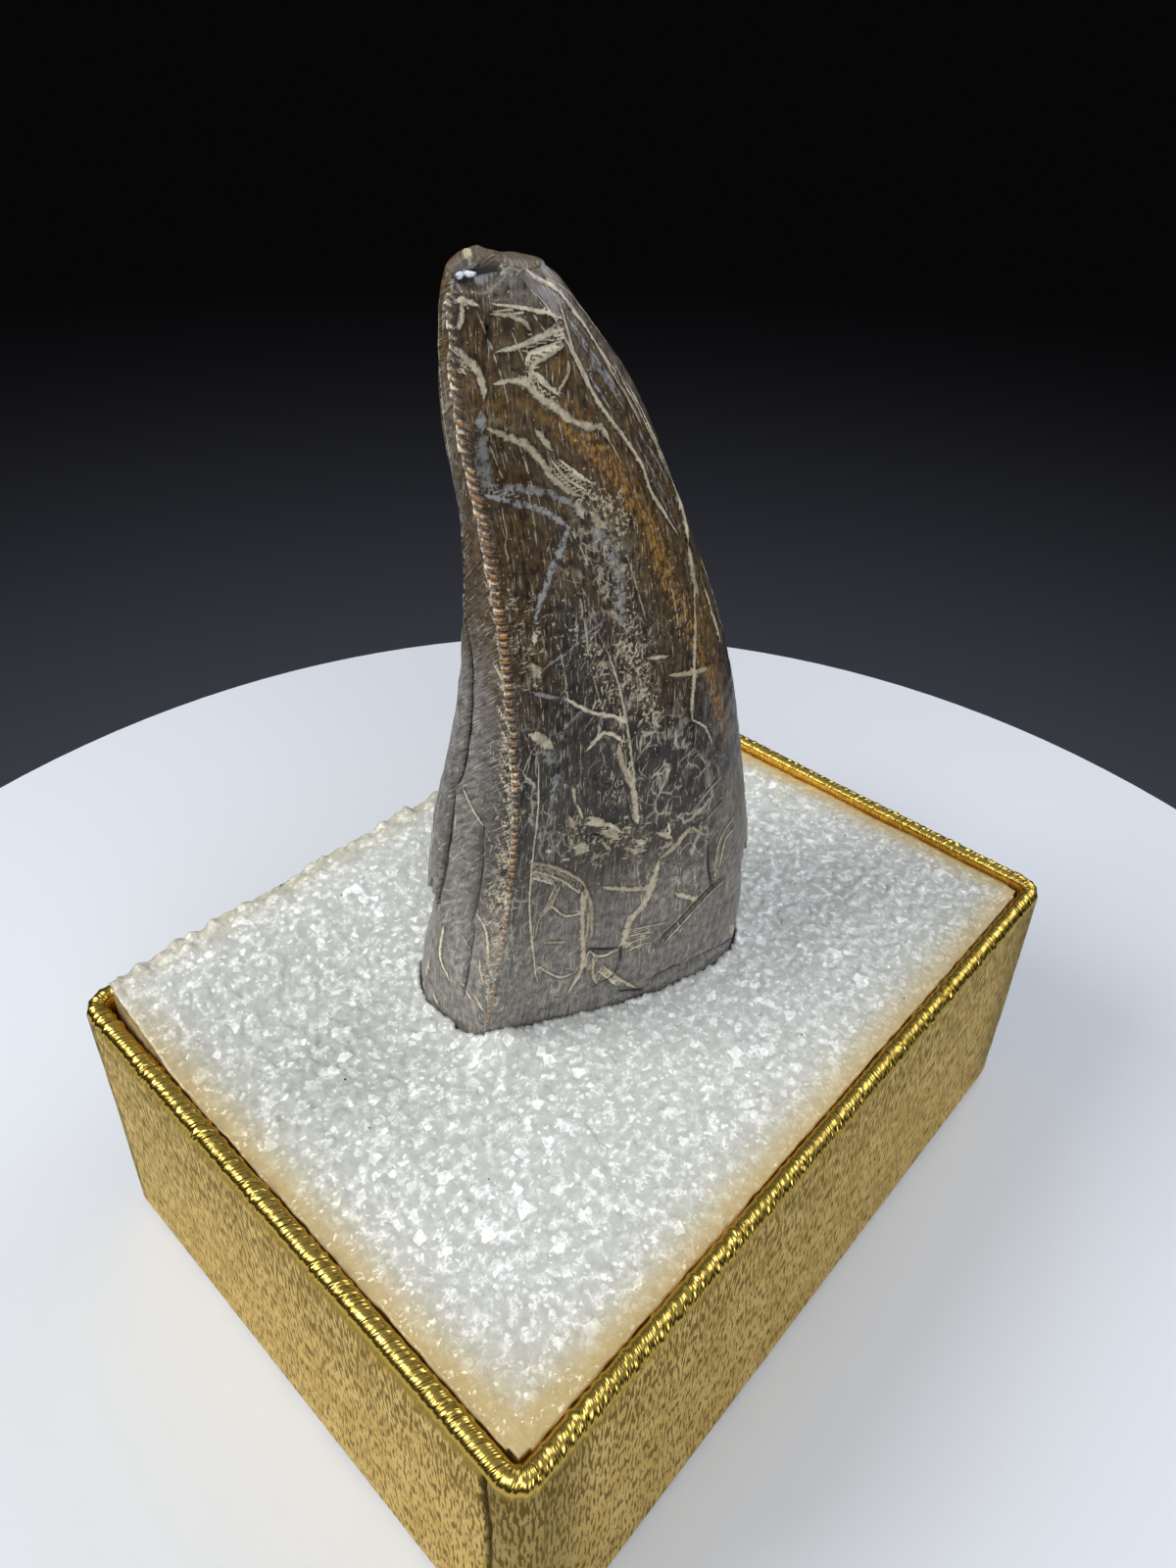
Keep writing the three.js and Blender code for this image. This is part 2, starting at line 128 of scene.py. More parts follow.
# Pressed grey pulp: dull, with darker flecks of paper fibre
chipboard, board_space = start_material("pressed_grey_chipboard")
pulp = add_node(chipboard, "ShaderNodeTexNoise", {"Vector": board_space, "Scale": 1 / (PULP_FLECK * MM)})
pulp_colour = add_node(chipboard, "ShaderNodeMixRGB", {
    "Fac": pulp, "Color1": linear(CHIPBOARD_GREY), "Color2": linear(CHIPBOARD_FLECK),
})
pulp_bump = add_node(chipboard, "ShaderNodeBump", {"Height": pulp, "Distance": 0.05 * MM, "Strength": 0.5})
pulp_shader = add_node(chipboard, "ShaderNodeBsdfPrincipled", {
    "Base Color": pulp_colour, "Roughness": 0.95, "Normal": pulp_bump,
})
add_node(chipboard, "ShaderNodeOutputMaterial", {"Surface": pulp_shader})
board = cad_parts["tray_board"]
board.data.materials.clear()
board.data.materials.append(chipboard)

# Foil wrap: paper with a gold metal face, glued round the board, rolled over the rim and turned in down
# the inside. The roll is gathered into small cross creases, and a lap of foil ends near each corner.
TRAY_LENGTH = 54.0
TRAY_WIDTH = 40.5
TRAY_HEIGHT = 20.2
CORNER_RADIUS = 1.7
BASE_EDGE_RADIUS = 0.8
FOIL = 0.2
WALL = 1.3
RIM_RADIUS = WALL / 2
TURN_IN = 12.0
LAP_MARGIN = 2.3
LAP_STEP = 0.12
# How far from each corner the side walls are painted darker, as painted shade
CORNER_SHADE = 4.5
OUTLINE_STEP = 0.1
CREASE_SPACING = (0.28, 1.0)
CREASE_WIDTH = (0.1, 0.2)
CREASE_HEIGHT = (0.01, 0.08)
WALL_DENT = 0.05
RIM_DENT = 0.12

dice = np.random.default_rng(41)


def soft_noise(points, size, seed, waves=14):
    """Smooth seeded unevenness, about -1 to 1, with bumps of roughly that size in millimetres."""
    own_dice = np.random.default_rng(seed)
    directions = own_dice.normal(size=(waves, points.shape[1]))
    phases = own_dice.uniform(0, 2 * math.pi, waves)
    turns = points @ directions.T * (2.2 / size) + phases
    return np.sin(turns).sum(1) / math.sqrt(waves / 2) / 2


def tray_outline(spacing):
    """The tray's outer outline, anticlockwise from the near corner: places, outward directions and lengths."""
    places, outwards = [], []
    half = np.array([TRAY_LENGTH / 2, TRAY_WIDTH / 2]) - CORNER_RADIUS
    turns = [(-1, -1, -90), (1, -1, 0), (1, 1, 90), (-1, 1, 180)]
    for side, (along_x, along_y, degrees) in enumerate(turns):
        next_x, next_y, _ = turns[(side + 1) % 4]
        start = half * (along_x, along_y)
        end = half * (next_x, next_y)
        outward = np.array([math.cos(math.radians(degrees)), math.sin(math.radians(degrees))])
        count = round(float(np.linalg.norm(end - start)) / spacing)
        for step in range(count):
            places.append(start + (end - start) * step / count + outward * CORNER_RADIUS)
            outwards.append(outward)
        count = max(4, round(CORNER_RADIUS * math.pi / 2 / spacing))
        for step in range(count):
            angle = math.radians(degrees + 90 * step / count)
            outward = np.array([math.cos(angle), math.sin(angle)])
            places.append(end + outward * CORNER_RADIUS)
            outwards.append(outward)
    places, outwards = np.array(places), np.array(outwards)
    steps = np.linalg.norm(np.roll(places, -1, 0) - places, axis=1)
    return places, outwards, np.concatenate([[0], np.cumsum(steps)[:-1]]), steps.sum()


def ring_faces(rows, columns, first=0):
    """Quads over a stack of closed rings of equal point counts."""
    row, column = np.meshgrid(np.arange(rows - 1), np.arange(columns), indexing="ij")
    here, beside = first + row * columns + column, first + row * columns + (column + 1) % columns
    return np.stack([here, beside, beside + columns, here + columns], -1).reshape(-1, 4)


def fan_faces(ring, centre, flipped):
    """Triangles from a ring of point numbers to one centre point."""
    following = np.roll(ring, -1)
    first, second = (following, ring) if flipped else (ring, following)
    return np.stack([first, second, np.full(len(ring), centre)], 1)


def make_piece(name, points, faces, material, smooth=True):
    """A mesh object from millimetre points and a list of face arrays."""
    mesh = bpy.data.meshes.new(name)
    mesh.from_pydata((points * MM).tolist(), [], [face for group in faces for face in group.tolist()])
    mesh.polygons.foreach_set("use_smooth", [smooth] * len(mesh.polygons))
    mesh.materials.append(material)
    piece = bpy.data.objects.new(name, mesh)
    bpy.context.scene.collection.objects.link(piece)
    return piece


def store(piece, name, values):
    """Keeps one number or one vector for each point of the mesh, for its material."""
    kind, field = ("FLOAT", "value") if values.ndim == 1 else ("FLOAT_VECTOR", "vector")
    layer = piece.data.attributes.new(name, kind, "POINT")
    layer.data.foreach_set(field, values.astype(np.float32).ravel())


def smooth_step(low, high, value):
    share = np.clip((value - low) / (high - low), 0, 1)
    return share * share * (3 - 2 * share)


outline, outline_out, outline_length, outline_total = tray_outline(OUTLINE_STEP)

# Profile rows: inset from the outer face, height, how far the row leans outwards and upwards, and its zone
profile = []
for step in range(5):
    angle = step / 4 * math.pi / 2
    profile.append((BASE_EDGE_RADIUS * (1 - math.sin(angle)), BASE_EDGE_RADIUS * (1 - math.cos(angle)),
                    math.sin(angle), -math.cos(angle), 0.0))
WALL_ROWS = 12
for step in range(1, WALL_ROWS - 1):
    share = step / WALL_ROWS
    profile.append((0.0, BASE_EDGE_RADIUS + (TRAY_HEIGHT - RIM_RADIUS - BASE_EDGE_RADIUS) * share, 1.0, 0.0, 0.0))
for drop in (1.7, 1.2, 0.9):
    profile.append((0.0, TRAY_HEIGHT - drop, 1.0, 0.0, 0.0))
RIM_ROWS = 14
for step in range(RIM_ROWS + 1):
    angle = step / RIM_ROWS * math.pi
    profile.append((RIM_RADIUS * (1 - math.cos(angle)), TRAY_HEIGHT - RIM_RADIUS * (1 - math.sin(angle)),
                    math.cos(angle), math.sin(angle), 1.0))
for depth in (1.2, 1.9, 3.0, 5.0, TURN_IN):
    profile.append((WALL, TRAY_HEIGHT - depth, -1.0, 0.0, 0.0))
profile.append((WALL - FOIL, TRAY_HEIGHT - TURN_IN, 0.0, 0.0, 2.0))
profile.append((WALL - FOIL, TRAY_HEIGHT - 2 * FOIL, 0.0, 0.0, 2.0))
profile.append((FOIL, TRAY_HEIGHT - 2 * FOIL, 0.0, 0.0, 2.0))
for step in range(3, -1, -1):
    angle = step / 3 * math.pi / 2
    radius = BASE_EDGE_RADIUS - FOIL
    profile.append((FOIL + radius * (1 - math.sin(angle)), FOIL + radius * (1 - math.cos(angle)), 0.0, 0.0, 2.0))
profile = np.array(profile)
inset, height, lean_out, lean_up, zone = (profile[:, column][:, None] for column in range(5))

# The gathered creases of the roll, each with its own place, slant, width and height
rim_turn = np.where(zone == 1, np.arctan2(lean_up, lean_out) / math.pi, np.where(inset > RIM_RADIUS, 1.0, 0.0))
crease = np.zeros((len(profile), len(outline)))
place = 0.0
while place < outline_total:
    slant = dice.uniform(-0.35, 0.75)
    width = dice.uniform(*CREASE_WIDTH)
    rise = dice.uniform(*CREASE_HEIGHT) * (1.6 if dice.random() < 0.2 else 1.0)
    gap = outline_length[None, :] - place - slant * (rim_turn - 0.5)
    gap = (gap + outline_total / 2) % outline_total - outline_total / 2
    crease += rise * np.exp(-(gap / width) ** 2)
    place += dice.uniform(*CREASE_SPACING)
crease_zone = np.exp(-(np.maximum(0, TRAY_HEIGHT - RIM_RADIUS - height) / 0.5) ** 2) * (zone < 2)
wall_points = np.stack([
    np.broadcast_to(outline[:, 0], crease.shape), np.broadcast_to(outline[:, 1], crease.shape),
    np.broadcast_to(height, crease.shape),
], -1).reshape(-1, 3)
dents = soft_noise(wall_points, 11.0, 5).reshape(crease.shape)
fine_dents = soft_noise(wall_points, 2.6, 6).reshape(crease.shape)
wall_zone = smooth_step(0, 3, height) * smooth_step(0, 3, TRAY_HEIGHT - height) * (zone < 2) * (inset < RIM_RADIUS)
rim_zone = (zone == 1) * np.sin(np.clip(rim_turn, 0, 1) * math.pi)
push = (crease - 0.06) * crease_zone + WALL_DENT * (dents - 0.9) * wall_zone
push = push + 0.03 * fine_dents * wall_zone + RIM_DENT * 0.5 * (dents - 0.8) * rim_zone
place_x = np.broadcast_to(outline[:, 0], crease.shape)
place_y = np.broadcast_to(outline[:, 1], crease.shape)
on_end_wall = (np.abs(place_x) > TRAY_LENGTH / 2 - 0.01) & (zone < 2) & (inset < 0.01)
lap_edge = TRAY_WIDTH / 2 - LAP_MARGIN + 0.12 * np.sin(height * 0.55) + 0.06 * np.sin(height * 1.7 + 1)
beyond_lap = np.abs(place_y) - lap_edge
lap_height = smooth_step(1.0, 1.7, height) * (height < TRAY_HEIGHT - RIM_RADIUS)
lap_gap = np.exp(-((beyond_lap - 0.14) / 0.16) ** 2)
push = push + on_end_wall * lap_height * (LAP_STEP * (beyond_lap < 0) - 0.14 * lap_gap)
foil_x = place_x - outline_out[:, 0] * inset + outline_out[:, 0] * push * lean_out
foil_y = place_y - outline_out[:, 1] * inset + outline_out[:, 1] * push * lean_out
foil_z = height + push * lean_up
foil_points = np.stack([foil_x, foil_y, foil_z], -1).reshape(-1, 3)
rows, columns = crease.shape
foil_points = np.concatenate([foil_points, [[0, 0, 0], [0, 0, FOIL]]])
last_ring = np.arange((rows - 1) * columns, rows * columns)
foil_faces = [
    ring_faces(rows, columns),
    fan_faces(np.arange(columns), rows * columns, True),
    fan_faces(last_ring, rows * columns + 1, False),
]

# Gold foil paper: a metal face, hot-pressed with a grain of short dashes that run up the wall. The dashes read
# dark, because they tip the metal away from the light, so they get a small bump and are painted a dark gold as
# painted shade, with more of them towards the rim. The real ones are 0.08 mm wide, drawn at 0.15 mm to show.
FOIL_GOLD = "EBD08C"
FOIL_TAN = "D9BC72"
FOIL_DASH_SHADE = "7E6836"
FOIL_GLANCING = "EDDFBE"
# Painted shade: the rolled rim is the same foil, painted a darker gold
FOIL_RIM_SHADE = "C4A752"
# Painted reflected light: the foil turned in down the inside is painted a deeper, warmer gold
FOIL_INSIDE_REFLECTION = "EBB648"
# Painted shade: a dark line in the groove at each lap's edge, a dark strip beyond it to the corner, and a darkening
# that fades along the side walls from each corner
LAP_SHADOW = "1E140C"
DASH_LENGTH = 0.9
DASH_WIDTH = 0.15
gold_foil, _ = start_material("pressed_gold_foil_paper")
wall_place = add_node(gold_foil, "ShaderNodeAttribute", attribute_name="foil_place").outputs["Vector"]
marks = {
    name: add_node(gold_foil, "ShaderNodeAttribute", attribute_name="foil_" + name).outputs["Fac"]
    for name in ("rim", "inside", "lap_shade", "upper")
}
dash_space = add_node(gold_foil, "ShaderNodeMapping", {
    "Vector": wall_place, "Scale": (1 / DASH_WIDTH, 1 / DASH_LENGTH, 1),
})
dashes = add_node(gold_foil, "ShaderNodeTexNoise", {
    "Vector": dash_space, "Scale": 0.9, "Detail": 1.0, "Roughness": 0.5,
})
patches = add_node(gold_foil, "ShaderNodeTexNoise", {"Vector": wall_place, "Scale": 1 / 2.4, "Detail": 2.0})
patch_shift = add_node(gold_foil, "ShaderNodeMapRange", {
    "Value": patches, "From Min": 0.3, "From Max": 0.7, "To Min": 0.02, "To Max": -0.02,
})
dash_level = add_node(gold_foil, "ShaderNodeMath", {0: dashes, 1: patch_shift}, operation="SUBTRACT")
dash_level = add_node(gold_foil, "ShaderNodeMath", {0: dash_level, 1: marks["upper"]}, operation="ADD")
dash_mask = add_node(gold_foil, "ShaderNodeMapRange", {
    "Value": dash_level, "From Min": 0.51, "From Max": 0.6,
}, interpolation_type="SMOOTHSTEP")
off_rim = add_node(gold_foil, "ShaderNodeMath", {0: 1.0, 1: marks["rim"]}, operation="SUBTRACT")
dash_on_wall = add_node(gold_foil, "ShaderNodeMath", {0: dash_mask, 1: off_rim}, operation="MULTIPLY")
sheen = add_node(gold_foil, "ShaderNodeMapRange", {"Value": patches, "From Min": 0.35, "From Max": 0.65})
layer = add_node(gold_foil, "ShaderNodeMixRGB", {
    "Fac": sheen, "Color1": linear(FOIL_GOLD), "Color2": linear(FOIL_TAN),
})
# Painted shade and reflection over the gold: dark dashes, a darker rolled rim, a deeper gold turned in down the
# inside, and the dark lap line and corner strips
for share, colour in ((dash_on_wall, FOIL_DASH_SHADE), (marks["rim"], FOIL_RIM_SHADE), (marks["inside"], FOIL_INSIDE_REFLECTION),
                      (marks["lap_shade"], LAP_SHADOW)):
    layer = add_node(gold_foil, "ShaderNodeMixRGB", {"Fac": share, "Color1": layer, "Color2": linear(colour)})
gold_roughness = add_node(gold_foil, "ShaderNodeMapRange", {"Value": marks["rim"], "To Min": 0.4, "To Max": 0.25})
dash_bump = add_node(gold_foil, "ShaderNodeBump", {
    "Height": dash_on_wall, "Distance": 0.05 * MM, "Strength": 0.8,
}, invert=True)
# The roll is gathered into creases finer than its modelled ones
leaning_place = add_node(gold_foil, "ShaderNodeVectorRotate", {
    "Vector": wall_place, "Angle": math.radians(22),
}, rotation_type="Z_AXIS")
gather_space = add_node(gold_foil, "ShaderNodeMapping", {"Vector": leaning_place, "Scale": (1 / 0.24, 1 / 4, 1)})
gathers = add_node(gold_foil, "ShaderNodeTexNoise", {"Vector": gather_space, "Scale": 1.0, "Detail": 1.0})
gathers_on_rim = add_node(gold_foil, "ShaderNodeMath", {0: gathers, 1: marks["rim"]}, operation="MULTIPLY")
gold_bump = add_node(gold_foil, "ShaderNodeBump", {
    "Height": gathers_on_rim, "Distance": 0.2 * MM, "Strength": 0.9, "Normal": dash_bump,
})
gold_shader = add_node(gold_foil, "ShaderNodeBsdfPrincipled", {
    "Base Color": layer, "Metallic": 1.0, "Roughness": gold_roughness, "Normal": gold_bump,
    "Specular Tint": linear(FOIL_GLANCING),
})
add_node(gold_foil, "ShaderNodeOutputMaterial", {"Surface": gold_shader})

foil = make_piece("foil_paper_wrap", foil_points, foil_faces, gold_foil)
passed = np.cumsum(np.hypot(np.diff(profile[:, 0], prepend=0), np.diff(profile[:, 1], prepend=0)))[:, None]
flat = np.concatenate([
    np.stack([np.broadcast_to(outline_length, crease.shape), np.broadcast_to(passed, crease.shape),
              np.zeros(crease.shape)], -1).reshape(-1, 3), np.zeros((2, 3)),
])
foil_marks = {
    "rim": smooth_step(TRAY_HEIGHT - 1.1, TRAY_HEIGHT - 0.55, height) * (inset < WALL - 0.1),
    "upper": 0.06 * smooth_step(9, TRAY_HEIGHT - 1, height) * (inset < RIM_RADIUS),
    "inside": (inset >= WALL - 0.12) & (zone < 2) & (height > 1),
    # Painted shade: dark in the lap's groove, on the strip beyond it and near each corner
    "lap_shade": lap_height * np.where(on_end_wall, np.maximum(
        np.clip(1.5 * np.exp(-((beyond_lap - 0.14) / 0.17) ** 2), 0, 1), 0.5 * smooth_step(0.1, 0.3, beyond_lap),
    ), 0.5 * smooth_step(CORNER_SHADE, 0, TRAY_LENGTH / 2 - CORNER_RADIUS - np.abs(place_x))) * (inset < 0.01),
}
store(foil, "foil_place", flat)
for name, values in foil_marks.items():
    store(foil, "foil_" + name, np.append(np.broadcast_to(values, crease.shape).ravel().astype(float), [0, 0]))
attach(foil, "root")
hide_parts("foil_wrap")

# Tooth shape: the same nine stations and fourteen section anchors as the solid. They come before the foam,
# because the foam's slot follows the tooth.
TOOTH_BASE = 11.5
STATION_STEP = 6.75
STATIONS = {
    "x": [-0.9, -0.8, 0.1, 0.1, 0.1, -0.7, -2.1, -4.1, -6.8],
    "y": [1.0, 0.8, 0.6, 0.4, 0.2, 0.4, 0.7, 1.2, 1.5],
    "half": [11.0, 10.9, 11.1, 10.4, 9.3, 7.8, 6.4, 5.3, 2.4],
    "edge": [-0.24, -0.38, -0.5, -0.6, -0.58, -0.48, -0.36, -0.34, -0.3],
    "ridge": [0.8, 0.74, 0.65, 0.56, 0.4, 0.52, 0.38, 0.22, 0.25],
    "lens": [0.0, 0.0, 0.0, 0.0, 0.2, 0.44, 0.64, 0.78, 0.8],
}
THICKNESS_RATIO = 0.61
TWIST = math.radians(-9)
D_SECTION = np.array([
    [-0.9, -0.2], [-0.55, -0.58], [-0.08, -0.85], [0.38, -1.0], [0.72, -0.95], [0.94, -0.58], [1.0, -0.05],
    [0.84, 0.5], [0.45, 0.88], [0.0, 1.0], [-0.45, 1.0], [-0.84, 0.8], [-0.98, 0.46], [-0.97, 0.12],
])
LENS_SECTION = np.array([
    [-1.0, 0.05], [-0.62, -0.42], [-0.18, -0.76], [0.22, -0.94], [0.52, -0.92], [0.86, -0.55], [1.0, -0.05],
    [0.82, 0.45], [0.42, 0.82], [0.0, 0.98], [-0.42, 0.92], [-0.78, 0.6], [-0.92, 0.38], [-0.98, 0.22],
])
ANCHORS = len(D_SECTION)
RIDGE_ANCHOR = 4


def catmull_rom(before, start, end, after, share):
    return 0.5 * (2 * start + (end - before) * share + (2 * before - 5 * start + 4 * end - after) * share ** 2
                  + (3 * start - before - 3 * end + after) * share ** 3)


def station_value(name, height):
    """One value of the stations at each height, along a smooth curve through the nine of them."""
    values = np.array(STATIONS[name])
    padded_values = np.concatenate([[2 * values[0] - values[1]], values, [2 * values[-1] - values[-2]]])
    where = np.clip((height - TOOTH_BASE) / STATION_STEP, 0, len(values) - 1)
    row = np.minimum(np.floor(where).astype(int), len(values) - 2)
    return catmull_rom(*(padded_values[row + offset] for offset in range(4)), where - row)


def crown_point(side, height, outward=0.0):
    """Points on the crown. The side is counted in anchors round from the serrated edge."""
    side, height, outward = np.broadcast_arrays(np.asarray(side, float), np.asarray(height, float), outward)
    lens = np.clip(station_value("lens", height), 0, 1)[..., None, None]
    anchors = D_SECTION * (1 - lens) + LENS_SECTION * lens
    shift = station_value("ridge", height) - anchors[..., RIDGE_ANCHOR, 0]
    anchors[..., 0, 1] = station_value("edge", height)
    for offset, weight in ((-1, 0.6), (0, 1.0), (1, 0.3)):
        anchors[..., RIDGE_ANCHOR + offset, 0] += weight * shift
    index = np.floor(side).astype(int)
    picked = [
        np.take_along_axis(anchors, ((index + offset) % ANCHORS)[..., None, None], -2)[..., 0, :]
        for offset in (-1, 0, 1, 2)
    ]
    half = station_value("half", height)
    section = catmull_rom(*picked, (side - index)[..., None])
    along, across = half * section[..., 0], half * THICKNESS_RATIO * section[..., 1]
    grown = 1 + outward / np.hypot(along, across)
    return np.stack([
        station_value("x", height) + grown * (along * math.cos(TWIST) - across * math.sin(TWIST)),
        station_value("y", height) + grown * (along * math.sin(TWIST) + across * math.cos(TWIST)),
        height,
    ], -1)


# Where flakes of enamel are missing near the foam: from one side to another, up to a height, and how deep under
# the flake's edge. Below that edge the broken surface spreads out again.
BASE_FLAKES = [(10.4, 12.6, 27.9, 0.75), (4.1, 6.6, 27.0, 0.75)]
FLAKE_SPREAD = 8.0


def flake_depth(side, height):
    depth = np.zeros(np.broadcast(side, height).shape)
    for start, end, top, deep in BASE_FLAKES:
        ragged = 0.5 * np.sin(side * 9.0) + 0.3 * np.sin(side * 23.0 + 1)
        inside = smooth_step(start - 0.03, start + 0.03, side) * smooth_step(end + 0.03, end - 0.03, side)
        spread = 1 - smooth_step(0, FLAKE_SPREAD, top - height)
        depth = np.maximum(depth, deep * spread * inside * smooth_step(top + ragged + 0.15, top + ragged - 0.15, height))
    return depth


# Foam pad: white closed-cell polyethylene foam, cut a little small, slit in the middle for the tooth and
# pressed into the tray. Its cut top is a crush of opened cells, torn and lifted along the back wall.
FOAM_INSET = 1.5
FOAM_FLOOR = 1.05
FOAM_TOP = 19.6
FOAM_EDGE_DROP = 0.1
FOAM_EDGE_ROUND = 1.5
FOAM_BACK_LIFT = 1.9
FOAM_CORNER_PULL = 0.15
FOAM_GRID = 0.17
CELL_SIZE = 0.9
CELL_RELIEF = 0.08
SHRED_SIZE = 0.45
SHRED_RELIEF = 0.05
SLOT_GAP = 0.1
SLOT_UNDERCUT = 0.45
FOAM_SKIRT_ROWS = 12
HOLLOW = (-15.5, 3.5, 4.5, 0.9)
SWELL = (-10.3, -1.2, 1.8, 0.9)


def hashed(cell_x, cell_y, seed):
    """A repeatable chance in 0..1 for each whole-numbered cell."""
    wave = np.sin(cell_x * 127.1 + cell_y * 311.7 + seed * 74.7) * 43758.5453
    return wave - np.floor(wave)


def foam_cells(points, size, seed):
    """The nearest foam cell to each point: offset from its middle, gap to its wall, and three chances."""
    home = np.floor(points / size)
    nearest = np.full(len(points), 1e9)
    second = np.full(len(points), 1e9)
    offset = np.zeros((len(points), 2))
    owner = np.zeros((len(points), 2))
    for step_x in (-1, 0, 1):
        for step_y in (-1, 0, 1):
            cell = home + (step_x, step_y)
            jitter = np.stack([hashed(cell[:, 0], cell[:, 1], seed), hashed(cell[:, 0], cell[:, 1], seed + 1)], 1)
            away = points - (cell + jitter) * size
            distance = np.linalg.norm(away, axis=1)
            closer = distance < nearest
            second = np.where(closer, nearest, np.minimum(second, distance))
            nearest = np.where(closer, distance, nearest)
            offset[closer] = away[closer]
            owner[closer] = cell[closer]
    chances = [hashed(owner[:, 0], owner[:, 1], seed + extra) for extra in (2, 3, 4)]
    return offset, second - nearest, chances


def cell_relief(points, size, relief, seed):
    """Crushed cells: each one a shard tipped its own way, with a lip or a dip where it meets the next."""
    offset, wall_gap, chances = foam_cells(points, size, seed)
    angle = chances[0] * 2 * math.pi
    tip = (offset[:, 0] * np.cos(angle) + offset[:, 1] * np.sin(angle)) / size
    lip = np.exp(-(wall_gap / (0.22 * size)) ** 2) * (chances[1] - 0.35)
    return relief * (1.5 * tip * (0.4 + chances[2]) + 0.9 * lip + 0.6 * (chances[2] - 0.5))


def polygon_distance(points, polygon):
    """Signed distance to a closed outline, negative inside, and the direction away from it."""
    best = np.full(len(points), 1e9)
    away = np.zeros((len(points), 2))
    inside = np.zeros(len(points), bool)
    for start, end in zip(polygon, np.roll(polygon, -1, 0)):
        leg = end - start
        part = np.clip((points - start) @ leg / (leg @ leg), 0, 1)
        gap = points - start - part[:, None] * leg
        distance = np.linalg.norm(gap, axis=1)
        closer = distance < best
        best = np.where(closer, distance, best)
        away[closer] = gap[closer]
        spans = (start[1] > points[:, 1]) != (end[1] > points[:, 1])
        crossing = start[0] + (points[:, 1] - start[1]) / (leg[1] if abs(leg[1]) > 1e-12 else 1e-12) * leg[0]
        inside ^= spans & (points[:, 0] < crossing)
    sign = np.where(inside, -1.0, 1.0)
    return sign * best, away / np.maximum(best, 1e-9)[:, None] * sign[:, None]


# The foam's plan: a grid over the tray's inside, with torn outer lines and its left corner pulled off the wall
half_x = TRAY_LENGTH / 2 - FOAM_INSET
half_y = TRAY_WIDTH / 2 - FOAM_INSET
count_x = round(2 * half_x / FOAM_GRID) + 1
count_y = round(2 * half_y / FOAM_GRID) + 1
grid_x, grid_y = np.meshgrid(np.linspace(-half_x, half_x, count_x), np.linspace(-half_y, half_y, count_y))
plan = np.stack([grid_x.ravel(), grid_y.ravel()], 1)
to_wall_x = half_x - np.abs(plan[:, 0])
to_wall_y = half_y - np.abs(plan[:, 1])
to_wall = np.minimum(to_wall_x, to_wall_y)
tear = -0.08 + 0.05 * soft_noise(plan, 1.3, 21) + 0.03 * soft_noise(plan, 0.6, 22)
tear = np.clip(tear + 0.15 * (np.maximum(to_wall_x, to_wall_y) < 0.8), -0.11, 0.1)
pull = FOAM_CORNER_PULL * smooth_step(13.0, 18.0, plan[:, 1]) * (plan[:, 0] < 0)
shift_x = np.exp(-(to_wall_x / 1.5) ** 2) * (tear + pull)
shift_y = np.exp(-(to_wall_y / 1.5) ** 2) * tear
plan = plan - np.stack([np.sign(plan[:, 0]) * shift_x, np.sign(plan[:, 1]) * shift_y], 1)

slot_sides = np.arange(0, ANCHORS, 0.1)
tooth_outline = crown_point(slot_sides, FOAM_TOP, -flake_depth(slot_sides, FOAM_TOP))[:, :2]
to_tooth, from_tooth = polygon_distance(plan, tooth_outline)
in_slot = to_tooth < SLOT_GAP
snap_out = (~in_slot) & (to_tooth < SLOT_GAP + 0.55 * FOAM_GRID)
plan[snap_out] += from_tooth[snap_out] * (SLOT_GAP - to_tooth[snap_out])[:, None]
snap_in = in_slot & (to_tooth > SLOT_GAP - 1.2 * FOAM_GRID)
plan[snap_in] += from_tooth[snap_in] * (SLOT_UNDERCUT - to_tooth[snap_in])[:, None]

near_back = smooth_step(9, 17.5, plan[:, 1])
rounding = FOAM_EDGE_DROP * (1 - smooth_step(0, FOAM_EDGE_ROUND, to_wall)) * (1 - near_back)
calm = 1 - 0.85 * np.exp(-(to_wall / 1.3) ** 2) * (1 - near_back)
foam_z = FOAM_TOP - rounding + FOAM_BACK_LIFT * near_back + 0.12 * soft_noise(plan, 6.0, 23)
for (spot_x, spot_y, radius, rise), sign in ((HOLLOW, -1), (SWELL, 1)):
    foam_z += sign * rise * np.exp(-((plan[:, 0] - spot_x) ** 2 + (plan[:, 1] - spot_y) ** 2) / radius ** 2)
foam_z += calm * cell_relief(plan, CELL_SIZE, CELL_RELIEF, 3) + calm * cell_relief(plan, SHRED_SIZE, SHRED_RELIEF, 9)
back_tear = 0.2 * soft_noise(plan, 2.2, 26) + 0.25 * soft_noise(plan, 0.8, 24)
foam_z += near_back * np.exp(-(to_wall_y / 1.5) ** 2) * back_tear
foam_z += 0.12 * np.exp(-np.maximum(to_tooth - SLOT_GAP, 0) / 0.6)
foam_z = np.where(in_slot, TOOTH_BASE - 0.2, np.clip(foam_z, 17.0, 22.0))

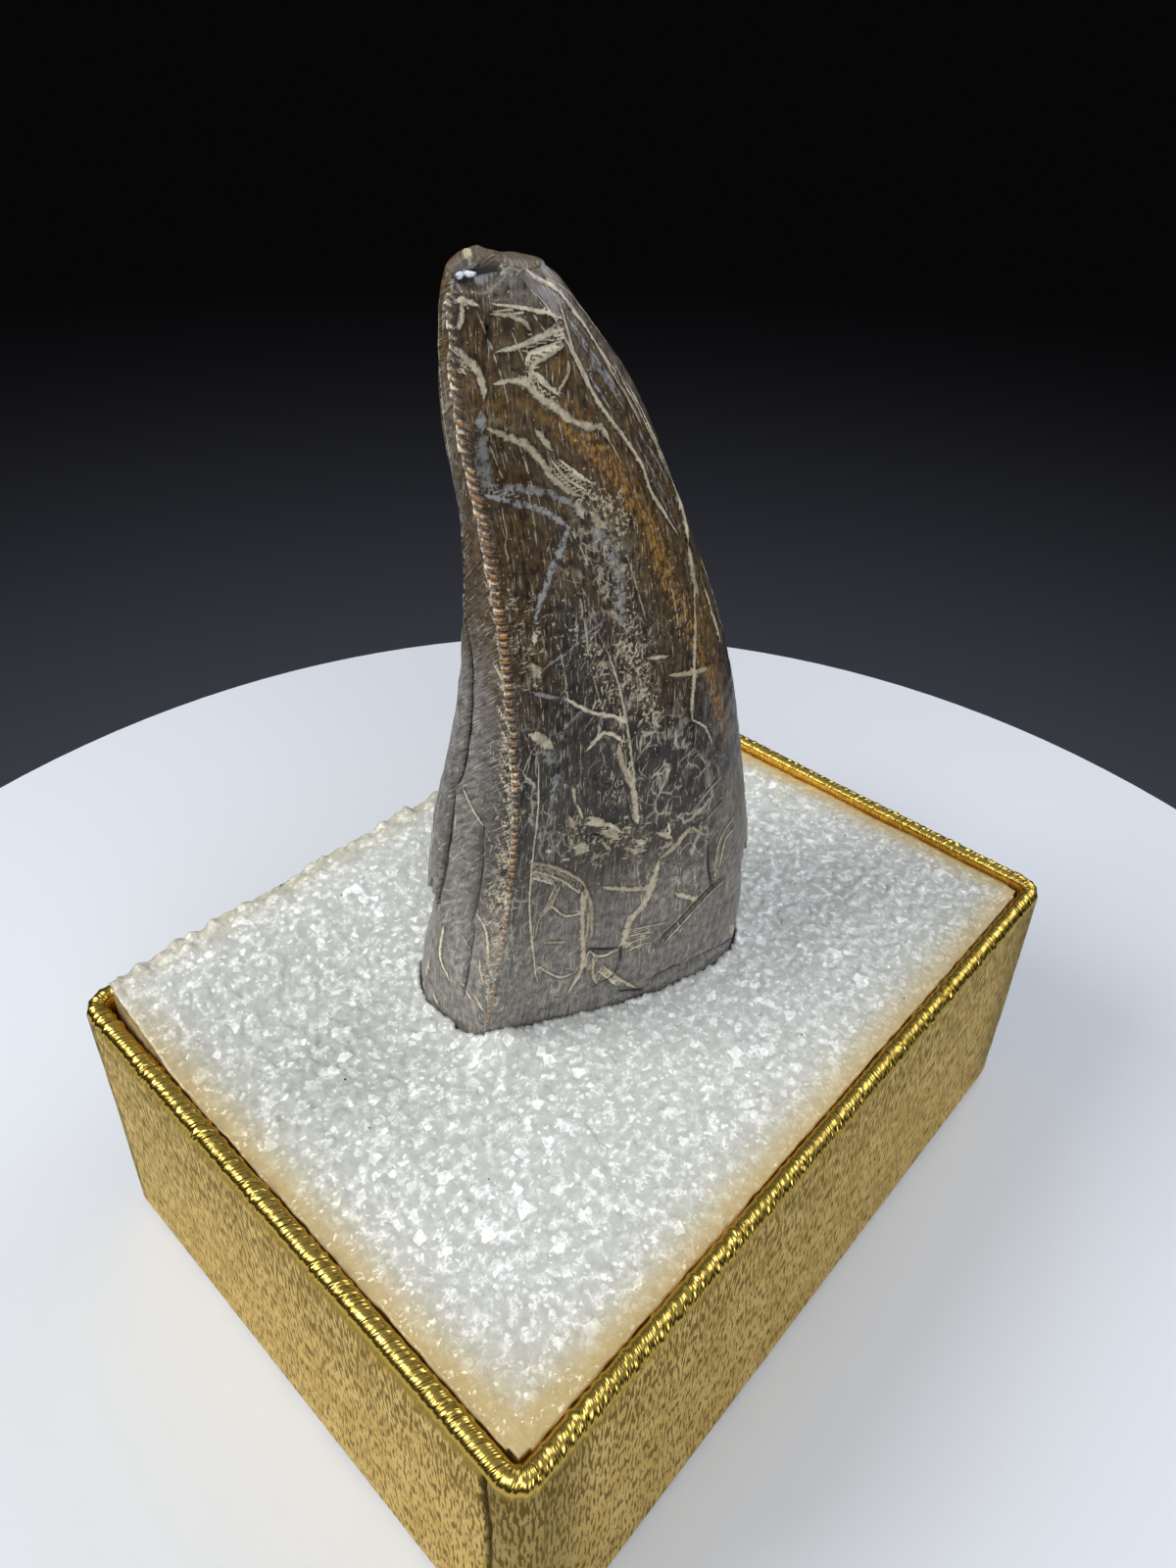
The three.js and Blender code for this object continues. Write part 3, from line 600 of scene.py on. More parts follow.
# The skirt: the outermost grid line carried down the cut sides to the board, then closed underneath
rim_ids = np.concatenate([
    np.arange(count_x), np.arange(1, count_y) * count_x + count_x - 1,
    np.arange(count_x - 2, -1, -1) + (count_y - 1) * count_x, np.arange(count_y - 2, 0, -1) * count_x,
])
lip = np.column_stack([plan[rim_ids], foam_z[rim_ids]])
skirt = []
for step in range(1, FOAM_SKIRT_ROWS + 1):
    share = (step / FOAM_SKIRT_ROWS) ** 1.6
    row = np.column_stack([lip[:, :2], lip[:, 2] * (1 - share) + FOAM_FLOOR * share])
    pinch = np.clip(0.06 * soft_noise(row, 1.4, 25) - 0.05, -0.15, 0.01) * (step < FOAM_SKIRT_ROWS)
    row[:, :2] *= (1 + pinch / half_x)[:, None]
    skirt.append(row)
foam_points = np.concatenate([np.column_stack([plan, foam_z])] + skirt + [[[0, 0, FOAM_FLOOR]]])
row, column = np.meshgrid(np.arange(count_y - 1), np.arange(count_x - 1), indexing="ij")
corner = row * count_x + column
top_faces = np.stack([corner, corner + 1, corner + 1 + count_x, corner + count_x], -1).reshape(-1, 4)
skirt_start = count_x * count_y
rim_count = len(rim_ids)
skirt_ids = [rim_ids] + [skirt_start + level * rim_count + np.arange(rim_count) for level in range(FOAM_SKIRT_ROWS)]
skirt_faces = [
    np.stack([lower, np.roll(lower, -1), np.roll(upper, -1), upper], 1)
    for upper, lower in zip(skirt_ids[:-1], skirt_ids[1:])
]
foam_faces = [top_faces] + skirt_faces + [fan_faces(skirt_ids[-1], len(foam_points) - 1, True)]

# Polyethylene foam: clear plastic films round air, so white from scattering, with a glint off each flat film. Some
# glints are painted: white strokes along film edges and whole white cells. The gold light that soaks a few
# millimetres in from the walls is painted too, as a darker gold tint. The films are 0.05 mm thick, drawn at 0.1 mm to
# show.
FOAM_WHITE = "C4C6BE"
FOAM_SHADE = "B4B6AF"
FOAM_PAINTED_GLINT = "FFFFFC"
FOAM_PAINTED_GOLD_GLOW = "B39C60"
FOAM_SPECK = "2E2A26"
FILM_SIZES = ((0.6, 0.06, 0.8), (0.36, 0.08, 0.75), (0.22, 0.1, 0.6))  # size in millimetres, edge as a share of it, and strength
foam_white, foam_space = start_material("cut_polyethylene_foam")
wall_glow_share = add_node(foam_white, "ShaderNodeAttribute", attribute_name="painted_wall_glow").outputs["Fac"]
clouds = add_node(foam_white, "ShaderNodeTexNoise", {"Vector": foam_space, "Scale": 1 / (0.7 * MM), "Detail": 4.0})
foam_tone = add_node(foam_white, "ShaderNodeMapRange", {"Value": clouds, "From Min": 0.34, "From Max": 0.64})
layer = add_node(foam_white, "ShaderNodeMixRGB", {
    "Fac": foam_tone, "Color1": linear(FOAM_SHADE), "Color2": linear(FOAM_WHITE),
})
# Every film is a flat facet tipped its own way, with a painted highlight along its edge where it isn't torn off,
# a random darker tone, and now and then a painted highlight over the whole cell
film_normal = None
for size, edge, strength in FILM_SIZES:
    film_space = add_node(foam_white, "ShaderNodeVectorMath", {
        0: foam_space, 1: (1 / (size * MM),) * 3,
    }, operation="MULTIPLY")
    films = add_node(foam_white, "ShaderNodeTexVoronoi", {"Vector": film_space, "Scale": 1.0})
    offset = add_node(foam_white, "ShaderNodeVectorMath", {
        0: film_space, 1: films.outputs["Position"],
    }, operation="SUBTRACT")
    lean = add_node(foam_white, "ShaderNodeVectorMath", {
        0: films.outputs["Color"], 1: (0.5, 0.5, 0.5),
    }, operation="SUBTRACT")
    tilt = add_node(foam_white, "ShaderNodeVectorMath", {0: offset, 1: lean}, operation="DOT_PRODUCT")
    film_bump = {"Height": tilt.outputs["Value"], "Distance": 0.5 * size * MM, "Strength": 1.0}
    if film_normal:
        film_bump["Normal"] = film_normal
    film_normal = add_node(foam_white, "ShaderNodeBump", film_bump)
    walls = add_node(foam_white, "ShaderNodeTexVoronoi", {"Vector": film_space, "Scale": 1.0},
                     feature="DISTANCE_TO_EDGE")
    glint_stroke = add_node(foam_white, "ShaderNodeMapRange", {
        "Value": walls, "From Min": edge * 0.3, "From Max": edge, "To Min": strength, "To Max": 0.0,
    })
    torn = add_node(foam_white, "ShaderNodeMapRange", {"Value": clouds, "From Min": 0.52, "From Max": 0.66})
    shown = add_node(foam_white, "ShaderNodeMath", {0: glint_stroke, 1: torn}, operation="MULTIPLY")
    layer = add_node(foam_white, "ShaderNodeMixRGB", {"Fac": shown, "Color1": layer, "Color2": linear(FOAM_PAINTED_GLINT)})
    chances = add_node(foam_white, "ShaderNodeSeparateColor", {"Color": films.outputs["Color"]})
    shaded = add_node(foam_white, "ShaderNodeMapRange", {
        "Value": chances.outputs["Green"], "From Min": 0.5, "From Max": 1.0, "To Max": 0.45,
    })
    layer = add_node(foam_white, "ShaderNodeMixRGB", {"Fac": shaded, "Color1": layer, "Color2": linear(FOAM_SHADE)})
    glint_facet = add_node(foam_white, "ShaderNodeMapRange", {
        "Value": chances.outputs["Blue"], "From Min": 0.93, "From Max": 0.99, "To Max": strength,
    })
    layer = add_node(foam_white, "ShaderNodeMixRGB", {"Fac": glint_facet, "Color1": layer, "Color2": linear(FOAM_PAINTED_GLINT)})
# Painted gold light and shade near the walls
layer = add_node(foam_white, "ShaderNodeMixRGB", {
    "Fac": wall_glow_share, "Color1": layer, "Color2": linear(FOAM_PAINTED_GOLD_GLOW),
})
speck_cells = add_node(foam_white, "ShaderNodeTexVoronoi", {"Vector": foam_space, "Scale": 1 / (2.6 * MM)})
speck_mask = add_node(foam_white, "ShaderNodeMath", {0: speck_cells, 1: 0.03}, operation="LESS_THAN")
foam_colour = add_node(foam_white, "ShaderNodeMixRGB", {
    "Fac": speck_mask, "Color1": layer, "Color2": linear(FOAM_SPECK),
})
# The white comes from deep in the foam, so the films tip it far less than they tip the glints on top
surface_normal = add_node(foam_white, "ShaderNodeNewGeometry").outputs["Normal"]
tipped_normal = add_node(foam_white, "ShaderNodeVectorMath", {
    0: film_normal, 1: (0.28,) * 3, 2: surface_normal,
}, operation="MULTIPLY_ADD")
body_normal = add_node(foam_white, "ShaderNodeVectorMath", {0: tipped_normal}, operation="NORMALIZE")
foam_shader = add_node(foam_white, "ShaderNodeBsdfPrincipled", {
    "Base Color": foam_colour, "Roughness": 0.45, "IOR": 1.5, "Normal": body_normal,
    "Coat Weight": 0.75, "Coat Roughness": 0.07, "Coat Normal": film_normal,
    "Subsurface Weight": 0.4, "Subsurface Radius": (1.0, 0.96, 0.9), "Subsurface Scale": 0.6 * MM,
})
add_node(foam_white, "ShaderNodeOutputMaterial", {"Surface": foam_shader})

foam = make_piece("cut_foam_pad", foam_points, foam_faces, foam_white)
corner_gap = np.hypot(plan[:, 0] + half_x, plan[:, 1] + half_y)
# Painted gold light and shade: strong within a millimetre or two of the walls, fainter further in, less along the
# lifted back, more at the near corner, and over all the cut sides
painted_wall_glow = (0.8 * np.exp(-(to_wall / 1.5) ** 2) + 0.12 * np.exp(-to_wall / 4.0)) * (1 - 0.6 * near_back)
painted_wall_glow = np.minimum(painted_wall_glow + 0.35 * np.exp(-(corner_gap / 4.5) ** 2), 0.9)
store(foam, "painted_wall_glow", np.concatenate([painted_wall_glow, np.full(FOAM_SKIRT_ROWS * rim_count, 0.85), [0.8]]))
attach(foam, "root")
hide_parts("foam_pad")

# Fossil tooth: one curved crown of mineralised enamel and dentine, found like this. Its enamel is worn to
# a satin and etched by roots, with veins of pale mineral, open cracks, flaked edges and a worn, pitted tip.
CROWN_TOP = 64.9
TIP_DOME = 0.75
DOME_ROWS = 9
VISIBLE_LOW = 19.0
BURIED_ROWS = 8
CROWN_ROWS = 300
FRONT_COLUMNS = 28
BACK_COLUMNS = 11
BACK_ANCHORS = (6, 11)

side_list = []
for anchor in range(ANCHORS):
    steps = BACK_COLUMNS if BACK_ANCHORS[0] <= anchor < BACK_ANCHORS[1] else FRONT_COLUMNS
    side_list.append(anchor + np.arange(steps) / steps)
sides = np.concatenate(side_list)
heights = np.concatenate([
    np.linspace(TOOTH_BASE, VISIBLE_LOW, BURIED_ROWS, endpoint=False),
    np.linspace(VISIBLE_LOW, CROWN_TOP, CROWN_ROWS),
])
side_grid, height_grid = np.meshgrid(sides, heights)
crown = crown_point(side_grid, height_grid)
dome_share = np.linspace(0, 1, DOME_ROWS + 1)[1:-1, None]
tip_centre = np.array([station_value("x", np.array(CROWN_TOP)), station_value("y", np.array(CROWN_TOP))])
dome_shrink = np.cos(dome_share * math.pi / 2) ** 0.7
dome_rise = np.sin(dome_share * math.pi / 2) * TIP_DOME
top_ring = crown[-1]
dome = np.stack([
    tip_centre[0] + (top_ring[:, 0] - tip_centre[0]) * dome_shrink,
    tip_centre[1] + (top_ring[:, 1] - tip_centre[1]) * dome_shrink,
    CROWN_TOP + np.broadcast_to(dome_rise, (len(dome_share), len(sides))),
], -1)
crown = np.concatenate([crown, dome])
crown_rows, crown_columns = crown.shape[:2]
side_grid = np.broadcast_to(sides, crown.shape[:2])
height_grid = crown[:, :, 2]
crown_points = crown.reshape(-1, 3)
smooth_faces = ring_faces(crown_rows, crown_columns)


def face_normals(points, rows, columns):
    """Outward directions at the points of a stack of rings."""
    grid = points.reshape(rows, columns, 3)
    along = np.roll(grid, -1, 1) - np.roll(grid, 1, 1)
    upward = np.gradient(grid, axis=0)
    normal = np.cross(along, upward)
    return (normal / np.maximum(np.linalg.norm(normal, axis=2, keepdims=True), 1e-9)).reshape(-1, 3)


crown_normals = face_normals(crown_points, crown_rows, crown_columns)
crown_tree = BVHTree.FromPolygons(crown_points.tolist(), smooth_faces.tolist())
eye = Vector(CAMERA_PLACE)
TOOTH_MIDDLE_PIXEL = (590, 640)
ROUTE_STEP = 5.0


def on_crown(x, y):
    """The place on the crown that the photograph shows at a pixel, or the nearest one inside the outline."""
    for _ in range(60):
        place, _, _, _ = crown_tree.ray_cast(eye, Vector(pixel_direction(x, y)))
        if place is not None:
            return np.array(place)
        x += math.copysign(1.0, TOOTH_MIDDLE_PIXEL[0] - x)
        y += 0.5 if y < 300 else 0.0
    return None


def smooth_route(corners, step):
    """A rounded line through the corners, with points about a step apart."""
    corners = np.array(corners, float)
    ends = np.concatenate([[2 * corners[0] - corners[1]], corners, [2 * corners[-1] - corners[-2]]])
    line = []
    for index in range(len(corners) - 1):
        pieces = max(1, int(np.linalg.norm(corners[index + 1] - corners[index]) / step))
        for piece in range(pieces):
            line.append(catmull_rom(*ends[index:index + 4], piece / pieces))
    return line + [corners[-1]]


def pixel_route(corners):
    places = [on_crown(x, y) for x, y in smooth_route(corners, ROUTE_STEP)]
    return np.array([place for place in places if place is not None])


def skin_route(corners):
    """A line given as side and height, on the crown."""
    line = np.array(smooth_route(corners, 0.25))
    return crown_point(line[:, 0], line[:, 1])


def read_table(table):
    """The entries of a table of markings: one or two sizes, then the line of pixels laid on the crown."""
    entries = []
    for entry in table.split("|"):
        sizes, *pixels = entry.split()
        line = pixel_route([[float(level) for level in pixel.split(",")] for pixel in pixels])
        entries.append(([float(size) for size in sizes.split("-")], line))
    return entries


# Markings read off the photograph. Each entry is a width in millimetres, or one for each end, then its pixels.
# The two short cream entries at pixels 467,277 and 470,275, under the pit of the tip, are a painted highlight
CREAM_VEINS = """
.25 455,309 470,306 486,311 | .25 471,309 471,318 470,328 466,338 | .17 505,310 525,313 548,317 572,325
| .2 503,320 521,322 537,330 541,337 | .18-.42 508,358 520,356 532,352 545,347 558,341 572,336
| .22 537,370 540,362 550,358 560,354 574,344 | .24 540,378 547,370 555,365 573,354
| .28 541,378 548,384 560,395 569,402 | .15 569,401 575,390 580,380 579,368
| .38 507,391 524,388 539,393 551,405 565,415 580,427 596,434 613,436 619,443 622,450
| .15 540,380 541,386 550,402 556,408 | .34 500,438 520,447 535,453 552,470 563,487 580,501 590,505
| .16 563,470 578,488 597,500 | .14 572,470 590,484 603,493 | .12 580,483 600,492 | .4 588,512 594,527
| .42 604,524 610,531 617,538 | .3-.36 460,352 473,364 486,378 493,398 493,405 | .2 459,366 473,380
| .24 548,440 562,458 | .22-.12 541,262 550,272 567,292 582,314 598,335 618,364 630,380
| .1 562,281 590,311 620,350
| .24 571,312 578,335 584,357 596,380 606,403 622,426 640,450 655,475 663,500 675,520 690,545
| .8 688,502 696,525 700,548 | .5 702,560 707,590 711,605 | .3 718,600 730,640 734,655
| .12 715,570 730,610 740,650 | .25 708,600 709,655 708,690 706,725 707,735 | .15 707,735 720,742 727,760
| .28 685,689 705,687 722,682 | .22 662,672 680,670 | .5 545,648 545,655 | .6 544,680 550,690
| .6 542,750 552,755 562,762 | .25 580,714 603,727 628,731 638,738
| .14 620,665 630,695 637,725 642,755 645,780 648,800 650,818 | .25 600,765 617,748 636,756
| .3 631,760 634,775 642,800 | .34 641,785 648,815 648,838 | .4 647,825 650,838 | .2 585,803 587,820
| .16 590,822 594,835 | .35 582,835 586,845 | .35 601,835 618,840 | .3 600,842 622,842 632,848
| .3 615,850 632,856 | .75 588,866 598,867 | .3 558,868 562,869 | .28 617,862 622,866 | .35 650,858 657,860
| .4 645,868 657,868 | .3 672,850 685,855 | .2 682,840 683,853 | .34 703,845 690,862 675,875
| .45 672,880 665,905 655,925 643,938 636,960 634,968 | .18 700,848 707,845 718,852 | .15 710,825 708,835
| .1 735,793 715,817 712,822 | .1 720,838 737,818 | .12 729,885 735,855 748,833 | .12 733,885 740,855 748,845
| .35 617,905 640,907 660,907 | .3 690,912 710,918 | .2 540,880 565,885 590,897 598,905
| .16 541,888 570,897 592,912 | .14 541,895 565,902 | .18 572,903 563,922 550,938 546,955
| .12 567,903 557,925 551,932 | .12 563,925 578,935 597,930 | .15 555,962 577,961 | .14 547,985 570,997 588,991
| .22 597,905 603,925 603,955 | .3 594,910 594,950 594,985 580,1012
| .16 549,780 548,825 541,890 540,930 545,985 548,1000 | .14 645,948 668,944 680,941 | .14 640,955 665,951
| .14 640,962 662,956 | .14 638,970 660,962 | .14 601,970 612,975 636,966 658,955 | .2 605,975 605,995 610,1005
| .22 615,985 630,998 648,1008 | .16 610,990 630,1006 | .6 745,945 750,955
| .1 738,898 715,922 690,948 677,963 | .1 731,895 709,918 684,944 670,957
| .16 473,805 482,825 492,843 | .2 485,930 496,950 499,975 | .16 471,955 480,970 | .2 446,940 444,955
| .2 453,945 449,975 458,1000 | .25 436,980 435,995 | .16 490,980 493,1000 | .25 430,1000 434,1008
| .3 443,1015 447,1025 | .2 470,1005 481,1020 | .25 484,1015 494,1030 | .6 529,262 538,268 | .4 472,256 478,260
| .4 467,277 478,279 | .5 470,275 484,278
| .12 556,283 575,303 592,325 608,350 622,375 640,405 655,435 | .1 548,300 562,320 575,345 588,370 600,395
| .12 640,390 660,430 680,480 695,520 | .1 628,372 645,405 662,440 680,485
"""
SLATE_VEINS = """
.35 580,540 573,560 562,585 553,610 546,633 | .18 618,633 597,648 582,663 562,677 553,685
| .24 541,706 560,711 580,714 | .22 597,722 583,736 569,750 | .9 555,768 564,775 | .5 568,790 563,815
| .35 563,815 562,830 562,858 | .4 540,835 552,855 553,862 | .14 503,762 525,775 | .3 507,803 521,828 525,840
| .45 490,422 491,440 | .7 491,445 493,470 495,495 | .4 500,495 540,500 580,512 590,515
| .32 495,505 525,513 555,522 580,538 | .6 605,540 625,565 633,600 633,635
| .14 577,322 602,356 622,384 633,402 | .14 583,335 606,368 630,408 | .14 600,377 615,380 630,405 636,415
| .14 603,385 618,408 626,420 | .14 645,440 665,480 680,510 | .14 652,440 672,475 680,492
| .14 665,490 680,520 688,535 | .3 455,300 452,340 | .2 462,500 465,560 470,620 | .25 447,925 456,980 466,1005
"""
HAIRLINES = """
.07 487,320 498,345 507,372 516,400 518,412 | .07 522,338 532,362 535,370 | .07 544,320 556,338
| .07 538,385 548,407 556,418 | .07 496,445 506,472 515,497 512,520 517,545 515,555 519,580
| .07 530,455 540,485 544,500 | .07 537,495 544,525 547,540 | .07 582,540 594,562 600,578
| .07 603,573 612,602 | .07 594,600 606,625 610,638 | .07 585,590 594,620 600,665 600,682
| .07 541,592 545,610 | .07 640,565 650,600 659,632 | .07 551,712 555,745 | .07 553,645 557,672
| .07 571,660 578,700 580,725 | .07 605,690 613,718 | .07 623,450 636,473 | .07 683,590 692,635 694,655
| .07 697,600 700,645 | .07 452,388 455,412 | .07 492,843 506,872 514,888 | .07 467,893 478,915
| .07 449,300 446,345 451,420 460,482 | .07 560,1002 556,1020 552,1036 | .07 650,880 655,930 652,985
| .07 690,880 694,920 690,965 | .07 525,905 522,950 528,1010
"""
# Dark cracks are painted black as shade in their grooves; the last two entries are the pit at the tip, painted black
# the same way
DARK_CRACKS = """
.16 459,480 467,540 473,610 476,636 | .24 476,636 481,690 478,745 472,785 466,800
| .12-.35 464,804 459,850 452,893 446,917 | .1 492,843 491,870 | .2 491,875 487,910 482,933 480,940
| .1 483,945 478,980 | .2 477,983 471,1017 | .2 602,969 620,969 628,968 | .2 634,966 634,975 633,982
| .1 633,983 625,997 605,1008 | .18 632,1013 655,1012 | .18 724,862 725,890 727,903
| .12 735,898 712,920 688,946 674,960 | .15 665,1000 685,988 693,985 | .1 700,983 730,968 750,958
| .06 541,357 572,347 | .1 600,853 612,853 | .1 640,815 646,840 | .12 498,330 498,350
| 1-2.1 461,275 482,272 | 2.1-.9 482,272 505,271
"""
# Short scratches and specks: how many, between which pixels, how long and how steep they are, and their width.
# The two sets of short upright ticks from pixels 618,795 and 605,870 are painted glints off fine ridges
TICKS = [
    (36, (504, 905), (522, 1030), 7, 70, 0.09), (20, (484, 905), (500, 1030), 7, 110, 0.08),
    (70, (520, 605), (556, 705), 6, 12, 0.1), (46, (612, 545), (640, 640), 8, 80, 0.1),
    (80, (600, 640), (672, 740), 7, 65, 0.13), (44, (585, 500), (636, 560), 6, 60, 0.12),
    (26, (618, 795), (636, 822), 6, 88, 0.08), (10, (605, 870), (614, 886), 6, 88, 0.08),
    (54, (572, 832), (662, 882), 6, 20, 0.17), (60, (560, 740), (705, 840), 10, 84, 0.07),
    (60, (630, 885), (745, 985), 15, 82, 0.05), (40, (455, 760), (510, 1000), 16, 78, 0.05),
    (40, (560, 540), (600, 830), 14, 84, 0.05), (34, (500, 880), (560, 1035), 12, 84, 0.06),
]
tick_dice = np.random.default_rng(17)
ticks = []
for count, low, high, length, steepness, width in TICKS:
    for _ in range(count):
        place = tick_dice.uniform(low, high)
        turn = math.radians(steepness + tick_dice.normal(0, 14))
        reach = length * tick_dice.uniform(0.4, 1.2) / 2
        step = np.array([math.cos(turn), -math.sin(turn)]) * reach
        ticks.append(([width * tick_dice.uniform(0.6, 1.3)], pixel_route([place - step, place + step])))

# The far side can't be seen in the photograph: it gets markings of the same kinds, drawn by seeded chance
far_dice = np.random.default_rng(8)
far_veins, far_slates, far_hairlines = [], [], []
for _ in range(34):
    side, level = far_dice.uniform(5.6, 11.6), far_dice.uniform(21, 63)
    heading, line = far_dice.uniform(-1.0, 1.0), []
    for _ in range(far_dice.integers(4, 9)):
        line.append((side, level))
        heading += far_dice.normal(0, 0.55)
        side += 0.34 * math.cos(heading) * (1 if far_dice.random() < 0.97 else -1)
        level += 1.7 * math.sin(heading)
    line = [(side, min(max(level, 20.0), 64.0)) for side, level in line if 5.2 < side < 12.0]
    if len(line) > 2:
        width = far_dice.uniform(0.16, 0.5)
        target = far_slates if far_dice.random() < 0.3 else far_veins
        target.append(([width, 0.5 * width], skin_route(line)))
        if far_dice.random() < 0.5:
            target.append(([0.14], skin_route([(side + 0.03, level + 0.75) for side, level in line])))
for _ in range(40):
    side, level = far_dice.uniform(5.4, 11.8), far_dice.uniform(22, 58)
    line = []
    for _ in range(far_dice.integers(3, 7)):
        line.append((side, level))
        side += far_dice.normal(0, 0.06)
        level += far_dice.uniform(1.2, 2.6)
    far_hairlines.append(([0.07], skin_route([(side, min(level, 64.0)) for side, level in line])))
FAR_CRACKS = [[(8.8, 47), (9.2, 40), (9.0, 33), (9.3, 26)], [(10.4, 42), (10.0, 36), (10.6, 29.5), (10.3, 23)]]
ROUTES = {
    "vein": read_table(CREAM_VEINS) + far_veins,
    "slate": read_table(SLATE_VEINS) + far_slates,
    "hairline": read_table(HAIRLINES) + far_hairlines + ticks,
    "crack": read_table(DARK_CRACKS) + [([0.2], skin_route(line)) for line in FAR_CRACKS],
}
# Fine comb scratches that run off the serrations, down the distal face
comb_dice = np.random.default_rng(23)
for level in np.arange(23.0, 54.0, 0.3):
    reach = comb_dice.uniform(0.1, 0.32)
    drop = comb_dice.uniform(0.7, 1.7)
    ROUTES["hairline"].append(([0.07], skin_route([(13.93, level), (13.93 - reach, level + drop)])))
ROUTE_REACH = 0.5


def measure_routes(points, normals, routes):
    """Each point by its nearest line: signed share of the line's half width, gap to its edge, the line's chance."""
    share = np.full(len(points), 9.0)
    edge_gap = np.full(len(points), ROUTE_REACH)
    chance = np.zeros(len(points))
    for number, (width, line) in enumerate(routes):
        if len(line) < 2:
            continue
        reach = ROUTE_REACH + max(width) / 2
        inside = np.nonzero(((points > line.min(0) - reach) & (points < line.max(0) + reach)).all(1))[0]
        cloud_and_sheen, cloud_normals = points[inside], normals[inside]
        passed = np.concatenate([[0], np.cumsum(np.linalg.norm(np.diff(line, axis=0), axis=1))])
        for start, end, before in zip(line[:-1], line[1:], passed):
            leg = end - start
            size = float(np.linalg.norm(leg))
            close = np.nonzero((np.abs(cloud_and_sheen - (start + end) / 2) < reach + size / 2).all(1))[0]
            if size < 1e-6 or not len(close):
                continue
            part = np.clip((cloud_and_sheen[close] - start) @ leg / size ** 2, 0, 1)
            away = cloud_and_sheen[close] - start - part[:, None] * leg
            gap = np.linalg.norm(away, axis=1)
            turn = np.einsum("ij,ij->i", away, np.cross(cloud_normals[close], leg))
            along = (before + part * size) / passed[-1]
            half = np.interp(along, (0, 1), (width[0], width[-1])) / 2 * (1 - 0.6 * np.abs(2 * along - 1) ** 5)
            closer = gap - half < edge_gap[inside[close]]
            ids = inside[close][closer]
            edge_gap[ids] = (gap - half)[closer]
            share[ids] = np.copysign(gap / half, turn)[closer]
            chance[ids] = number * 0.618 % 1
    return np.column_stack([share, edge_gap, chance])


def soft_patches(points, patches):
    """How strongly each point lies in a set of soft patches, each with a radius, a strength and a line."""
    total = np.zeros(len(points))
    for (radius, strength), line in patches:
        inside = np.nonzero(((points > line.min(0) - 2.5 * radius) & (points < line.max(0) + 2.5 * radius)).all(1))[0]
        closest = np.full(len(inside), 1e9)
        for place in line[::2]:
            closest = np.minimum(closest, ((points[inside] - place) ** 2).sum(1))
        total[inside] = np.maximum(total[inside], strength * np.exp(-closest / radius ** 2))
    return total


# Soft patches of colour, read off the photograph: radius in millimetres, strength, and the pixels of the middle
PATCHES = {
    "rust": """.9-1 575,430 600,455 625,480 645,505 660,530 670,560 680,590 690,610 705,640 715,670 725,690 735,740
        | .5-.5 545,655 552,690 | .5-.45 500,395 505,430 | .5-.6 500,560 512,620 518,680""",
    "gold": """1-.85 505,410 530,408 560,415 590,440 | .7-.8 565,368 575,380 | .9-.7 470,380 485,420
        | .8-.75 715,620 730,680 742,750 | 1-.7 610,450 650,520 680,580 | .5-.5 545,655 552,690""",
    "chalk": """1.1-.8 625,560 640,640 | 1.2-.85 640,660 665,730 | 1.3-.7 585,640 640,720 | .9-.9 600,500 640,540
        | .9-.5 560,600 580,720 | .9-.6 515,610 550,700 | 1-.7 575,850 660,860 | 1-.5 680,560 700,640
        | .6-.6 512,900 512,1035 | 1-.35 520,1000 600,1000 | .5-.6 470,300 520,300 | .8-.45 530,340 570,400""",
    "dark": "2.2-.95 590,640 600,720 590,800 640,780 | 1.9-.9 665,760 690,830 | 1.2-.6 600,560 660,660",
    # Worn patches: partly wear, partly painted sheen on the left face
    "worn": """2.2-.9 480,700 478,760 470,850 465,930 480,980 | 2.6-.95 700,900 660,930 620,960 570,980 690,960
        | 1.6-.8 740,820 745,850 | .8-.5 455,400 460,520""",
    "gloss": ".36-1 472,280 482,278 491,276 | 1-.6 660,420 700,520 730,620 755,740 | 1.2-.4 470,700 465,860",
    # Cloud patches: partly haze in the enamel, partly painted sheen
    "cloud_and_sheen": ".7-.75 508,275 520,282 527,292 | .6-.4 505,303 550,305 | .9-.35 640,380 680,460 | .5-.5 590,520 640,560",
    "craze": """2.6-1 660,760 700,820 690,880 | 1.8-.8 540,780 560,860 | 2-.7 520,920 580,1000
        | 1.6-.7 600,560 650,700 | 1.2-.6 455,860 470,1000""",
}


def far_spots(seed, count, radius, strength):
    """Seeded patches for the far side."""
    own_dice = np.random.default_rng(seed)
    places = crown_point(own_dice.uniform(6.0, 11.4, count), own_dice.uniform(24, 60, count))
    return [((radius, strength), np.array([place])) for place in places]


FAR_PATCHES = {
    "rust": (51, 7, 1.1, 0.7), "gold": (52, 6, 1.2, 0.6), "chalk": (53, 16, 1.7, 0.65), "dark": (54, 10, 2.8, 0.8),
    "craze": (55, 8, 2.6, 0.9), "cloud_and_sheen": (56, 4, 1.2, 0.4),
}
patch_spots = {name: read_table(table) for name, table in PATCHES.items()}
for name, chances in FAR_PATCHES.items():
    patch_spots[name] += far_spots(*chances)


